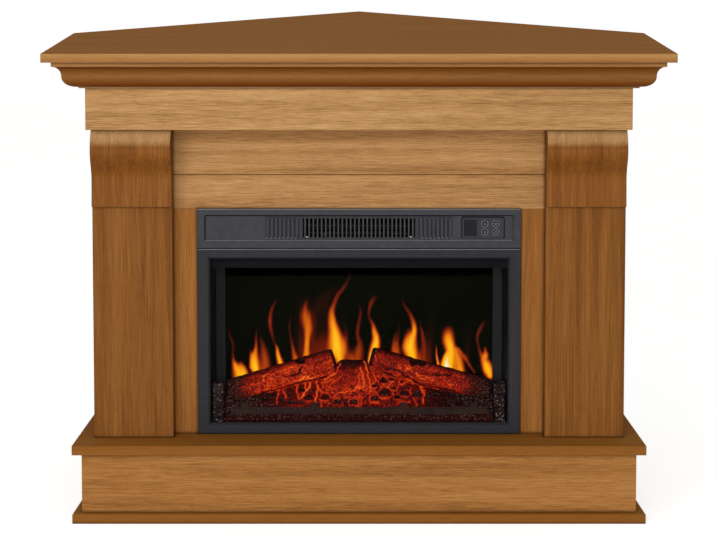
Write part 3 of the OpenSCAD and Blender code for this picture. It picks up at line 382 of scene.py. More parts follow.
steatite = coated("steatiteCeramic", "#d2d0c8", "#eceae2", 1.5 * mm, rough=(0.35, 0.5))
inletRubber = coated("inletRubber", "#111113", "#1a1a1c", 1 * mm, rough=(0.7, 0.85), specular=0.2)
zincScrew = coated("zincPlatedScrew", "#9a9ca0", "#c2c4c8", 0.8 * mm, rough=(0.25, 0.4), metallic=1.0)
castGrate = coated("castResinIron", "#23140f", "#35221b", 1.6 * mm, rough=(0.55, 0.75), bumpDepth=0.15 * mm,
                   specular=0.08)
castBrick = coated("castResinBrick", "#1d1313", "#3c2c2c", 3 * mm, rough=(0.7, 0.9), bumpDepth=0.3 * mm,
                   specular=0.03, spots=("#857370", 6.5 * mm, 0.3))

for material, names in (
        (particleBoard, ["plinth_back", "frieze_soffit"]), (softwood, ["rear_frame"]),
        (housingPaint, ["firebox_housing", "rear_cover"]), (blackPaint, ["heater_shelf"]),
        (revealPaint, ["side_reveals"]), (galvanised, ["mounting_brackets"]),
        (ductSteel, ["blower_housing"]), (shadedDrumAluminium, ["blower_drum"]),
        (brightSteel, ["flame_rod"]), (motorSteel, ["flame_rod_motor"]),
        (sinteredBronze, ["shaft_bushes"]), (laminated, ["blower_motor"]),
        (circuitGreen, ["control_board"]), (stripWhite, ["light_strips"]),
        (micaBoard, ["heating_element"]), (dustyCeramic, ["thermal_cutout"]),
        (inletRubber, ["mains_inlet"]), (zincScrew, ["fixing_screws"])):
    dress(material, *names)

# Float glass with an anti-glare coat: nothing mirrored, so the fire shows clearly.
# Rays from the lamps, and light scattered behind it, pass through it unbent.
clearGlass, tree, shader = newMaterial("coatedFloatGlass", {
    "Base Color": (0.97, 0.98, 0.98, 1), "Roughness": 0.0, "IOR": 1.03, "Transmission Weight": 1.0,
    "Specular IOR Level": 0.0})
ray = addNode(tree, "ShaderNodeLightPath")
through = addNode(tree, "ShaderNodeBsdfTransparent", {"Color": (0.96, 0.97, 0.97, 1)})
unbent = addNode(tree, "ShaderNodeMath", {
    0: ray.outputs["Is Shadow Ray"], 1: ray.outputs["Is Diffuse Ray"]}, operation="MAXIMUM")
# A faint film of dust gathers along the pane's edges
place = addNode(tree, "ShaderNodeTexCoord")
spot = addNode(tree, "ShaderNodeSeparateXYZ", {"Vector": place.outputs["Object"]})
low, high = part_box("glass_pane")
middle = (low + high) / 2
nearEdge = []
dustReach, dustThickness = 22 * mm, 0.015
for axis, centre, half in (("X", middle.x, (high.x - low.x) / 2), ("Z", middle.z, (high.z - low.z) / 2)):
    off = addNode(tree, "ShaderNodeMath", {0: spot.outputs[axis], 1: centre}, operation="SUBTRACT")
    away = addNode(tree, "ShaderNodeMath", {0: off}, operation="ABSOLUTE")
    nearEdge.append(addNode(tree, "ShaderNodeMapRange", {
        "Value": away, "From Min": half - dustReach, "From Max": half}))
edge = addNode(tree, "ShaderNodeMath", {0: nearEdge[0], 1: nearEdge[1]}, operation="MAXIMUM")
dust = addNode(tree, "ShaderNodeTexNoise", {"Vector": place.outputs["Object"], "Scale": 90.0, "Detail": 4.0})
film = addNode(tree, "ShaderNodeMath", {0: edge, 1: dust}, operation="MULTIPLY")
thin = addNode(tree, "ShaderNodeMath", {0: film, 1: dustThickness}, operation="MULTIPLY")
dustFilm = addNode(tree, "ShaderNodeBsdfDiffuse", {"Color": linearColor("#8c8880")})
dusty = addNode(tree, "ShaderNodeMixShader", {0: thin, 1: shader, 2: dustFilm})
paneMix = addNode(tree, "ShaderNodeMixShader", {0: unbent, 1: dusty, 2: through})
feed(tree.nodes["Material Output"], {"Surface": paneMix})
dress(clearGlass, "glass_pane")
print("Other finishes ready")


# Boards and trims: the CAD shapes with their sharp edges eased

weldReach, flatAngle = 0.001 * mm, math.radians(0.3)   # what counts as one vertex, and as one flat face


def easedEdges(name, node, material, width, segments=2, sharpest=32):
    bm = bmesh.new()
    bm.from_mesh(nodes[node].data)
    bmesh.ops.remove_doubles(bm, verts=bm.verts, dist=weldReach)
    bmesh.ops.dissolve_limit(bm, angle_limit=flatAngle, verts=bm.verts, edges=bm.edges)
    mesh = bpy.data.meshes.new(name)
    bm.to_mesh(mesh)
    bm.free()
    mesh.shade_smooth()
    mesh.set_sharp_from_angle(angle=math.radians(sharpest))
    draft = addObject(name + "Draft", mesh)
    ease = draft.modifiers.new("EasedEdge", "BEVEL")
    ease.width, ease.segments = width, segments
    ease.limit_method, ease.angle_limit = "ANGLE", math.radians(sharpest)
    ease.harden_normals = True
    ease.use_clamp_overlap = True
    newPiece(name, settled(draft, name), material, node)


edgeWidths = {"arris": 0.9 * mm, "moulding": 0.5 * mm, "trim": 0.8 * mm, "fine": 0.35 * mm,
              "window": 0.2 * mm, "casting": 0.8 * mm}
boards = [
    ("shelfBoard", "top_shelf", oakShelf, "arris"),
    ("crownFront", "crown_front", oakCrown, "moulding"),
    ("friezeFront", "frieze_front", oakFrieze, "moulding"),
    ("upperPanelBoard", "upper_panel_board", oakPanel, "moulding"),
    ("lowerPanelBoard", "lower_panel_board", oakPanel, "moulding"),
    ("hearthBoard", "hearth_slab", oakHearth, "arris"),
    ("plinthFront", "plinth_front", oakPlinth, "moulding"),
    ("baseBoard", "base_slab", oakHearth, "arris"),
    ("heaterTrim", "heater_trim", powderCoat, "fine"),
    ("glassFrame", "glass_frame", frameCoat, "trim"),
    ("controlPlate", "control_panel", mouldedPlastic, "fine"),
    ("displayWindow", "display_window", windowPlastic, "window")]
for side in ("left", "right"):
    boards += [(name + side.capitalize(), name + "_" + side, material, "moulding") for name, material in (
        ("crown", oakCrownReturn), ("frieze", oakFriezeReturn), ("plinth", oakPlinthReturn))]
    boards += [(side + name, side + node, material, edge) for name, node, material, edge in (
        ("Stile", "_inner_stile", oakStile, "moulding"), ("Pilaster", "_pilaster", oakPilaster, "arris"),
        ("Corbel", "_corbel", oakCorbel, "arris"), ("SidePanel", "_side_panel", oakSide, "moulding"))]
for name, node, material, edge in boards:
    easedEdges(name, node, material, edgeWidths[edge])
print("Boards and trims eased")

# The fire: a moulded log set lit from below, in front of a screen lit from behind

def emberResin(name, char, ash, speckSize, grainSize, skin, ashFrom):
    # Translucent polyester resin, cast and painted charcoal, with a lamp under it that shows where the
    # paint is thin. The mesh's glow says how lit a place is, vein how hot a bare line in the paint is, and
    # dusting how much ash lies there. skin is how much light the paint's thick and thin spots let through.
    material, tree, shader = newMaterial(name, {
        "Specular IOR Level": 0.03, "Roughness": 0.8, "Emission Strength": 1.0})
    place = addNode(tree, "ShaderNodeTexCoord")
    glow = addNode(tree, "ShaderNodeAttribute", attribute_name="glow")
    vein = addNode(tree, "ShaderNodeAttribute", attribute_name="vein")
    dusting = addNode(tree, "ShaderNodeAttribute", attribute_name="dusting")
    grain = addNode(tree, "ShaderNodeTexNoise", {
        "Vector": place.outputs["Object"], "Scale": 1 / grainSize, "Detail": 3.0, "Roughness": 0.7})
    patch = addNode(tree, "ShaderNodeTexNoise", {
        "Vector": place.outputs["Object"], "Scale": 1 / (15 * mm), "Detail": 2.0})
    thin = addNode(tree, "ShaderNodeMapRange", {
        "Value": grain, "From Min": 0.34, "From Max": 0.66,
        "To Min": skin[0], "To Max": skin[1]})
    patchy = addNode(tree, "ShaderNodeMapRange", {
        "Value": patch, "From Min": 0.36, "From Max": 0.64, "To Min": 0.82, "To Max": 1.14})
    through = addNode(tree, "ShaderNodeMath", {0: thin, 1: patchy}, operation="MULTIPLY")
    lit = addNode(tree, "ShaderNodeMath", {0: through, 1: glow.outputs["Fac"]}, operation="MULTIPLY")
    bare = addNode(tree, "ShaderNodeMapRange", {
        "Value": grain, "From Min": 0.34, "From Max": 0.66, "To Min": 0.74, "To Max": 1.04})
    hotLine = addNode(tree, "ShaderNodeMath", {0: vein.outputs["Fac"], 1: bare}, operation="MULTIPLY")
    both = addNode(tree, "ShaderNodeMath", {0: lit, 1: hotLine}, operation="MAXIMUM")
    speck = addNode(tree, "ShaderNodeTexNoise", {
        "Vector": place.outputs["Object"], "Scale": 1 / speckSize, "Detail": 2.0, "Roughness": 0.6})
    ashLevel = addNode(tree, "ShaderNodeMath", {
        0: dusting.outputs["Fac"], 1: 0.16, 2: speck}, operation="MULTIPLY_ADD")
    ashMask = addNode(tree, "ShaderNodeMapRange", {
        "Value": ashLevel, "From Min": ashFrom, "From Max": ashFrom + 0.1})
    covered = addNode(tree, "ShaderNodeMath", {0: ashMask, 1: -0.45, 2: 1.0}, operation="MULTIPLY_ADD")
    warmth = addNode(tree, "ShaderNodeMath", {0: both, 1: covered}, operation="MULTIPLY")
    light = addNode(tree, "ShaderNodeValToRGB", {"Fac": warmth}, stops=[
        (0.03, "#000000"), (0.2, "#3c0604"), (0.38, "#881307"), (0.56, "#c0320d"), (0.74, "#ec5812"),
        (0.9, "#ff9430"), (1.0, "#ffc060")])
    paint = addNode(tree, "ShaderNodeMix", {
        0: ashMask, 6: linearColor(char), 7: linearColor(ash)}, data_type="RGBA")
    bump = addNode(tree, "ShaderNodeBump", {"Height": grain, "Strength": 0.8, "Distance": 0.5 * mm})
    feed(shader, {"Base Color": paint, "Emission Color": light, "Normal": bump})
    return material


logResin = emberResin("castResinBark", "#1a0a07", "#52362f", 3.4 * mm, 3.8 * mm, (0.2, 0.84), 0.66)
coalResin = emberResin("castResinCoals", "#140706", "#5a423b", 3.6 * mm, 3.4 * mm, (0.26, 0.74), 0.66)

# The photograph's eye, solved from the object's corners: focal length and middle in pixels, pitch in
# degrees, and how far it stands in front of the shelf's edge and above the floor, in mm
eye = {"focal": 3851.3, "middle": (359.05, 268.0), "pitch": 8.1716, "away": 7590.9, "height": 1622.3}
# The fire's marks were read off close-ups of the photograph: corner pixel and enlargement of each
closeUps = {"bedLeft": (215, 330, 10.453), "bedRight": (345, 330, 10.453),
            "flamesLeft": (200, 240, 8.25), "flamesRight": (350, 240, 8.25)}
pixelSize = 2.06   # mm at the fire


def measured(view, x, y, depth):
    # X and Z in mm of a place in a close-up, on something that stands at that depth
    left, top, scale = closeUps[view]
    drop = (top + y / scale - eye["middle"][1]) / eye["focal"]
    sine, cosine = math.sin(math.radians(eye["pitch"])), math.cos(math.radians(eye["pitch"]))
    reach = eye["away"] + depth
    fall = reach * (sine + drop * cosine) / (cosine - drop * sine)
    far = reach * cosine + fall * sine
    return (left + x / scale - eye["middle"][0]) * far / eye["focal"], eye["height"] - fall


# Hot lines between the coals: heat, places
hotLines = {
    "bedLeft": [
        (1, [(555, 635), (640, 615), (700, 600), (760, 580), (830, 548)]),
        (0.85, [(740, 650), (790, 625), (830, 605), (845, 618)]),
        (1, [(850, 620), (870, 600), (920, 598), (945, 605), (935, 650), (905, 700), (880, 710), (860, 680),
         (850, 620)]),
        (1.15, [(905, 700), (940, 665), (990, 610), (1030, 570), (1045, 575)]),
        (0.8, [(690, 660), (655, 690), (650, 745)]),
        (0.85, [(700, 650), (730, 690), (745, 715)]),
        (1.1, [(1060, 580), (1075, 630), (1060, 680), (1050, 745)]),
        (1.05, [(1065, 580), (1110, 560), (1160, 530), (1230, 490), (1270, 450), (1300, 390)]),
        (0.9, [(1110, 590), (1150, 560), (1200, 530), (1280, 525)]),
        (0.95, [(1075, 610), (1110, 650), (1180, 660)]),
        (0.9, [(1100, 720), (1115, 790)]),
        (1, [(1230, 690), (1280, 650), (1340, 635), (1450, 615), (1500, 590), (1560, 590)]),
        (0.8, [(1210, 700), (1250, 690), (1300, 700)]),
        (0.7, [(1410, 700), (1400, 760)]),
        (0.85, [(1480, 690), (1545, 690), (1530, 730), (1510, 790)]),
        (0.9, [(1505, 450), (1500, 570)]),
        (0.95, [(1520, 400), (1545, 490), (1560, 560)]),
    ],
    "bedRight": [
        (0.95, [(150, 455), (140, 560)]),
        (1.05, [(165, 400), (190, 480), (210, 580)]),
        (1.1, [(205, 360), (235, 450), (260, 560), (270, 640)]),
        (1.05, [(265, 380), (285, 440), (310, 510), (325, 550), (300, 570)]),
        (1, [(0, 635), (60, 620), (120, 600), (215, 590)]),
        (0.9, [(265, 640), (330, 650), (355, 690), (350, 740)]),
        (0.85, [(270, 640), (255, 690), (265, 740)]),
        (1, [(345, 520), (400, 510), (450, 520), (500, 510), (560, 525), (620, 545), (700, 560), (760, 610),
         (830, 670), (815, 740)]),
        (0.95, [(370, 605), (450, 600), (520, 565)]),
        (0.9, [(450, 600), (480, 640), (505, 672)]),
        (0.95, [(570, 565), (590, 600), (620, 590), (650, 570)]),
        (0.8, [(560, 600), (545, 640)]),
        (0.85, [(690, 630), (680, 660), (720, 700), (745, 760)]),
        (0.75, [(530, 750), (600, 735), (680, 740)]),
        (0.85, [(150, 700), (130, 790)]),
        (0.8, [(0, 690), (90, 685), (190, 690)]),
        (0.6, [(860, 610), (900, 600), (960, 620)])]}
# Dark grooves and scars on the bark, and one painted shadow along the left log's lower edge: half width in
# mm, depth of shade, places
darkLines = {
    "bedLeft": [
        (2.2, 0.75, [(1180, 490), (1120, 520), (1000, 545), (900, 560), (800, 590), (700, 615), (600, 640),
         (540, 660)]),
        (1.8, 0.85, [(905, 385), (885, 440), (845, 470), (800, 475)]),
        (3, 0.9, [(860, 350), (930, 345)]),
        # Painted shadow along the left log's lower edge
        (3.2, 0.75, [(340, 755), (400, 720), (470, 690), (550, 650)]),
        (1.6, 0.5, [(480, 480), (560, 440)]),
    ],
    "bedRight": [
        (2, 0.7, [(440, 410), (500, 400), (560, 425), (620, 480), (700, 520), (760, 570), (850, 600),
         (1000, 620), (1150, 650)]),
        (1.8, 0.6, [(400, 450), (470, 470), (560, 520), (680, 570)]),
        (3.4, 0.9, [(690, 355), (760, 360), (820, 372)]),
        (1.4, 0.7, [(920, 465), (1010, 475), (1110, 480)]),
        (2.6, 0.7, [(1000, 650), (1200, 690), (1400, 700)]),
        (1.4, 0.6, [(640, 450), (720, 455)])]}
# Loose coals: close-up, middle, radius
coalPlaces = [
    ("bedRight", 315, 710, 45), ("bedRight", 490, 545, 33), ("bedRight", 508, 620, 26),
    ("bedRight", 625, 670, 45), ("bedRight", 690, 590, 36), ("bedRight", 420, 665, 62),
    ("bedRight", 300, 600, 27), ("bedRight", 90, 740, 46), ("bedRight", 750, 680, 48),
    ("bedRight", 400, 560, 40), ("bedRight", 590, 575, 26), ("bedRight", 545, 700, 34),
    ("bedLeft", 700, 725, 36), ("bedLeft", 770, 672, 24), ("bedLeft", 905, 645, 36),
    ("bedLeft", 1150, 700, 46), ("bedLeft", 1280, 742, 46), ("bedLeft", 1450, 740, 46),
    ("bedLeft", 980, 705, 44), ("bedLeft", 600, 690, 34), ("bedLeft", 800, 740, 40),
    ("bedLeft", 880, 755, 38), ("bedRight", 870, 700, 34), ("bedRight", 1010, 740, 28),
    ("bedRight", 1080, 700, 24), ("bedRight", 1190, 740, 36), ("bedRight", 950, 690, 32),
    ("bedLeft", 520, 720, 34), ("bedLeft", 290, 770, 34), ("bedLeft", 420, 700, 30),
]
viewDepth = 240   # the logs' and coals' front, behind the shelf's edge, in mm
hotLines, darkLines = ([
    (*look, [measured(view, *place, viewDepth) for place in places])
    for view, lines in readings.items() for *look, places in lines] for readings in (hotLines, darkLines))
coalPlaces = [(*measured(view, x, y, viewDepth), radius / closeUps[view][2] * pixelSize)
              for view, x, y, radius in coalPlaces]
# Widths are in mm; viewSlope is how much lower the eye sees a place for each mm that it lies further back
lineLook = {"hotWidth": 1.5, "haloWidth": 6.24, "haloHeat": 0.5, "hottest": 0.74, "viewSlope": 0.1436,
            "leakHeat": 0.85, "leakRing": 1.12, "leakWidth": 1.4}


def smoothStep(low, high, value):
    t = np.clip((value - low) / (high - low), 0.0, 1.0)
    return t * t * (3 - 2 * t)


def lampFade(x, middle, reach):
    # 1 over the lamp, fading to both sides
    return np.exp(-((x - middle) / reach) ** 4)


def setMarks(mesh, **marks):
    for name, values in marks.items():
        mesh.attributes.new(name, "FLOAT", "POINT").data.foreach_set("value", np.array(values, np.float32))


def farFromLine(xs, zs, places):
    best = np.full(xs.shape, 1e9)
    for (x0, z0), (x1, z1) in zip(places, places[1:]):
        dx, dz = x1 - x0, z1 - z0
        t = np.clip(((xs - x0) * dx + (zs - z0) * dz) / (dx * dx + dz * dz), 0, 1)
        best = np.minimum(best, np.hypot(xs - x0 - t * dx, zs - z0 - t * dz))
    return best


def seenFromFront(points):
    # X and the height at which the photograph's eye sees each point, in mm, with a little waver
    points = np.array(points)
    depth = points[:, 1] / mm + depthHalf / mm
    xs = points[:, 0] / mm + 1.0 * np.sin(points[:, 2] / mm * 0.4) + 0.4 * np.sin(points[:, 2] / mm * 1.1)
    zs = points[:, 2] / mm - lineLook["viewSlope"] * (depth - viewDepth)
    return xs, zs + 0.9 * np.sin(points[:, 0] / mm * 0.35)


def hotAt(points):
    xs, zs = seenFromFront(points)
    hot = np.zeros(len(xs))
    for strength, places in hotLines:
        away = farFromLine(xs, zs, places)
        core = np.clip(away / lineLook["hotWidth"] - 0.3, 0, None)
        hot = np.maximum(hot, strength * np.exp(-core ** 2))
        halo = np.exp(-(away / lineLook["haloWidth"]) ** 2)
        hot = np.maximum(hot, lineLook["haloHeat"] * strength * halo)
    # Light leaks out round the foot of each loose coal
    for x, z, radius in coalPlaces:
        ring = np.hypot(xs - x, (zs - z) / 0.8) - radius * lineLook["leakRing"]
        leak = lineLook["leakHeat"] * lampFade(x, -5, 150)
        hot = np.maximum(hot, leak * np.exp(-(ring / lineLook["leakWidth"]) ** 2))
    return hot * lineLook["hottest"]


def darkAt(points):
    xs, zs = seenFromFront(points)
    dark = np.zeros(len(xs))
    for half, shade, places in darkLines:
        away = farFromLine(xs, zs, places)
        dark = np.maximum(dark, shade * (1 - smoothStep(half * 0.6, half * 1.7, away)))
    return dark


bark = {"plateLength": 19 * mm, "plateWidth": 8 * mm, "ridge": 1.3 * mm, "crackDepth": 1.5 * mm,
        "rings": 170, "spokes": 110, "plateTone": 0.8, "crackHeat": 0.9,
        "swell": 1.8 * mm, "swellLength": 45 * mm, "proudest": 1.2 * mm, "endLength": 6 * mm,
        "knotRise": 2.5 * mm, "knotRadius": 7 * mm, "knotWidth": 2.6 * mm, "knotHollow": 4 * mm}
logs = {
    # Ends are X, depth and Z in mm; glow is how lit the low end, the middle and the high end are;
    # knot is how far along and how far round it sits; deep is the share of its width that each end is deep
    "leftLog": {"low": (-270, 264, 236), "high": (-49, 266, 299), "radii": (24.5, 28), "seed": 3.0,
                "glow": (0.1, 1.08, 0.9), "node": "left_log", "knot": (0.62, 2.5)},
    "rightLog": {"low": (271, 264, 238), "high": (23, 266, 302), "radii": (23.5, 28), "seed": 11.0,
                 "glow": (0.06, 0.88, 0.8), "node": "right_log", "knot": (0.56, 3.5)},
    "centreLog": {"low": (-26, 262, 208), "high": (-12, 277, 300), "radii": (62, 31), "seed": 23.0,
                  "glow": (0.2, 0.84, 0.42), "node": "centre_log", "knot": None, "deep": (0.6, 1.0)},
}


def barkMesh(name, log):
    low, high = (Vector(inFrame(*log[end])) for end in ("low", "high"))
    axis = (high - low).normalized()
    upright = abs(axis.z) > 0.8
    side = Vector((1, 0, 0)) if upright else axis.cross(Vector((0, 0, 1))).normalized()
    up = side.cross(axis).normalized()
    length = (high - low).length
    spokes = bark["spokes"] * (2 if upright else 1)
    rings = 76 if upright else bark["rings"]
    verts, glow, cracks, under = [], [], [], []
    # The ends are rings too: their radius runs out to the bark and in again
    stations = [(0.0, s) for s in (0.02, 0.3, 0.6, 0.85)]
    stations += [(i / rings, 1.0) for i in range(rings + 1)]
    stations += [(1.0, s) for s in (0.85, 0.6, 0.3, 0.02)]
    for t, share in stations:
        widen = smoothStep(0.95, 0.45, t) if upright else 1 - t
        r0 = (log["radii"][1] + (log["radii"][0] - log["radii"][1]) * widen) * mm
        deep = log["deep"][1] + (log["deep"][0] - log["deep"][1]) * widen if upright else 1.0
        ending = min(t, 1 - t) * length / bark["endLength"]
        r0 *= 0.86 + 0.14 * min(1.0, ending) ** 0.5
        centre = low.lerp(high, t)
        for j in range(spokes):
            a = 2 * math.pi * j / spokes
            u, v = math.cos(a), math.sin(a)
            plate = Vector((t * length / bark["plateLength"] + log["seed"], u * r0 / bark["plateWidth"],
                            v * r0 / bark["plateWidth"]))
            rough = noise.fractal(plate * 1.7, 0.8, 2.2, 4)
            wide = noise.noise(Vector((t * length / bark["swellLength"] + log["seed"], u * 1.3, v * 1.3)))
            gaps = noise.voronoi(plate + Vector((0.25 * rough, 0.3 * rough, 0.3 * rough)),
                                 distance_metric="DISTANCE", exponent=2.5)[0]
            seam = 1.0 - smoothStep(0.02, 0.2, gaps[1] - gaps[0])
            lift = bark["ridge"] * rough + bark["swell"] * wide - bark["crackDepth"] * seam
            if log["knot"]:
                # A branch stump: a raised ring with a sunk middle
                far = math.hypot((t - log["knot"][0]) * length,
                                 ((a - log["knot"][1] + math.pi) % (2 * math.pi) - math.pi) * r0)
                ring = (far - bark["knotRadius"]) / bark["knotWidth"]
                hollow = far / bark["knotHollow"]
                lift += bark["knotRise"] * (math.exp(-ring ** 2) - math.exp(-hollow ** 2))
            radius = (r0 + min(lift, bark["proudest"])) * share
            outward = 1 if t else -1
            bulge = 0.0 if share == 1.0 else outward * (1.5 * mm * rough - 1 * mm * (1 - share))
            point = centre + side * (u * radius) + up * (v * radius * deep) + axis * bulge
            verts.append(point)
            facing = -(side * u + up * v)   # y towards the viewer, z downwards
            first, middle, last = log["glow"]
            lit = first + (middle - first) * smoothStep(0.0, 0.34, t)
            lit += (last - middle) * smoothStep(0.55, 1.0, t)
            if upright:
                lit *= 0.3 + 0.7 * smoothStep(-0.1, 0.6, facing.y)
                lit *= 1 - 0.72 * smoothStep(0.76, 0.96, t)
                lampSide = 1.0
            else:
                lampSide = smoothStep(-0.78, -0.05, facing.y * 0.45 + facing.z * 0.75)
                lit *= 0.22 + 0.78 * lampSide
                lit *= smoothStep(-0.5, 9.0, (1 - t) * length / mm)
            if share < 1:
                lit *= 0.3
            glow.append(lit * bark["plateTone"])
            # The lamp shows brightest where the bark is split
            split = (1.0 - smoothStep(0.05, 0.16, gaps[1] - gaps[0])) * smoothStep(-0.6, 0.2, wide)
            cracks.append(bark["crackHeat"] * min(lit, 1.0) * lampSide * split)
            under.append(1.0 if upright else 0.8 * smoothStep(-0.1, 0.4, facing.z))
    # How much the grooves, scars and the one painted shadow leave of the glow
    notDarkened = 1.0 if upright else 1 - darkAt(verts)
    toViewer = np.array([p.y < low.y for p in verts])
    hot = np.maximum(hotAt(verts) * np.array(under), np.array(cracks) * notDarkened)
    faces = []
    count = len(stations)
    for i in range(count - 1):
        for j in range(spokes):
            k = (j + 1) % spokes
            faces.append((i * spokes + j, i * spokes + k, (i + 1) * spokes + k, (i + 1) * spokes + j))
    faces.append(tuple(range(spokes))[::-1])
    faces.append(tuple((count - 1) * spokes + j for j in range(spokes)))
    along = np.array([(p - low).dot(axis) / length for p in verts])
    mesh = solidMesh(name, verts, faces)
    setMarks(mesh, glow=np.array(glow) * notDarkened, vein=hot * toViewer,
             dusting=np.full(len(verts), 0.2) if upright else 1 - 0.6 * smoothStep(0.0, 0.3, along))
    return mesh


for name, log in logs.items():
    newPiece(name, barkMesh(name, log), logResin, log["node"])
print("Logs carved")

# The ember bed: one closed run of coals heaped up under the logs, with its skirt below the grate bar
bed = {"halfWidth": 275.6, "step": 1.35, "coal": 11.5, "crackDepth": 3.4, "domeRise": 2.6,
       "skirtDepth": 2.2, "skirtGrit": 5.5, "seed": 41.0,
       "heaps": ((-60, 75, 20), (45, 80, 29)),    # middle, spread and height of each heap
       "heapRise": (224, 262), "top": (221.5, 232)}   # the depths over which these begin
# Section from the skirt's foot up and over to the back (depth, Z in mm), with what each run is
bedSection = [((212.2, 161.9), "skirt"), ((212.2, 197.3), "ledge"), ((220.4, 197.5), "coals"),
              ((220.6, 214.5), "coals"), ((252.5, 232.5), "coals"), ((301.5, 240.3), "back"),
              ((301.5, 161.9), "foot")]


def heapAt(x, depth):
    return smoothStep(*bed["heapRise"], depth) * sum(
        height * math.exp(-((x - middle) / spread) ** 2) for middle, spread, height in bed["heaps"])


def bedGlow(x):
    return 0.1 + 0.42 * lampFade(x, -22, 165)


def bedMesh(name):
    run = []   # depth, Z, outward depth, outward Z, kind
    for (start, kind), (end, _) in zip(bedSection, bedSection[1:] + bedSection[:1]):
        span = math.hypot(end[0] - start[0], end[1] - start[1])
        count = max(1, round(span / bed["step"])) if kind in ("skirt", "coals") else 2
        out = (-(end[1] - start[1]) / span, (end[0] - start[0]) / span)
        for i in range(count):
            t = i / count
            run.append((start[0] + (end[0] - start[0]) * t, start[1] + (end[1] - start[1]) * t, *out, kind))
    columns = round(2 * bed["halfWidth"] / bed["step"])
    verts, glow, hotMask, dusting = [], [], [], []
    for c in range(columns + 1):
        x = -bed["halfWidth"] + 2 * bed["halfWidth"] * c / columns
        edge = min(1.0, (bed["halfWidth"] - abs(x)) / 4)
        for depth, z, outDepth, outZ, kind in run:
            lift, lit, hot, dust = 0.0, 0.0, 0.0, 1.0
            if kind in ("coals", "back") and z > 200:
                z += heapAt(x, depth)
            if kind == "coals":
                spot = Vector((x / bed["coal"], (depth + 0.4 * z) / bed["coal"],
                               z / bed["coal"] + bed["seed"]))
                warp = noise.noise_vector(spot * 0.9) * 0.35
                near = noise.voronoi(spot + warp, distance_metric="DISTANCE", exponent=2.5)[0]
                seam = 1.0 - smoothStep(0.0, 0.2, near[1] - near[0])
                dome = max(0.0, 1 - (near[0] / 0.72) ** 2)
                rough = noise.fractal(spot * 4, 0.8, 2.1, 3)
                top = smoothStep(*bed["top"], depth)
                lift = (bed["domeRise"] * top * dome - bed["crackDepth"] * (1 - dome)) * edge
                lift += 0.5 * rough * top
                lit = bedGlow(x) * (1.0 - 0.35 * dome ** 0.6 + 0.35 * seam)
                hot = 1.0
                dust = 0.15 + 0.75 * smoothStep(150, 225, abs(x))
            elif kind == "skirt":
                spot = Vector((x / bed["skirtGrit"], 3.7, z / bed["skirtGrit"] + bed["seed"]))
                lift = -bed["skirtDepth"] * abs(noise.fractal(spot, 0.7, 2.1, 4)) * edge
                lit = 0.13 + 0.06 * smoothStep(186, 197, z)
                dust = -0.6 + 1.25 * smoothStep(177, 188, z)
            verts.append(inFrame(x, depth + lift * outDepth, z + lift * outZ))
            glow.append(lit)
            hotMask.append(hot)
            dusting.append(dust)
    rows = len(run)
    faces = [(c * rows + r, c * rows + (r + 1) % rows, (c + 1) * rows + (r + 1) % rows, (c + 1) * rows + r)
             for c in range(columns) for r in range(rows)]
    faces += [tuple(range(rows)), tuple(columns * rows + r for r in range(rows))]
    mesh = solidMesh(name, verts, faces, sharpest=70)
    setMarks(mesh, glow=glow, vein=hotAt(verts) * np.array(hotMask), dusting=dusting)
    return mesh


newPiece("emberBed", bedMesh("emberBed"), coalResin, "ember_bed")
print("Ember bed ready")

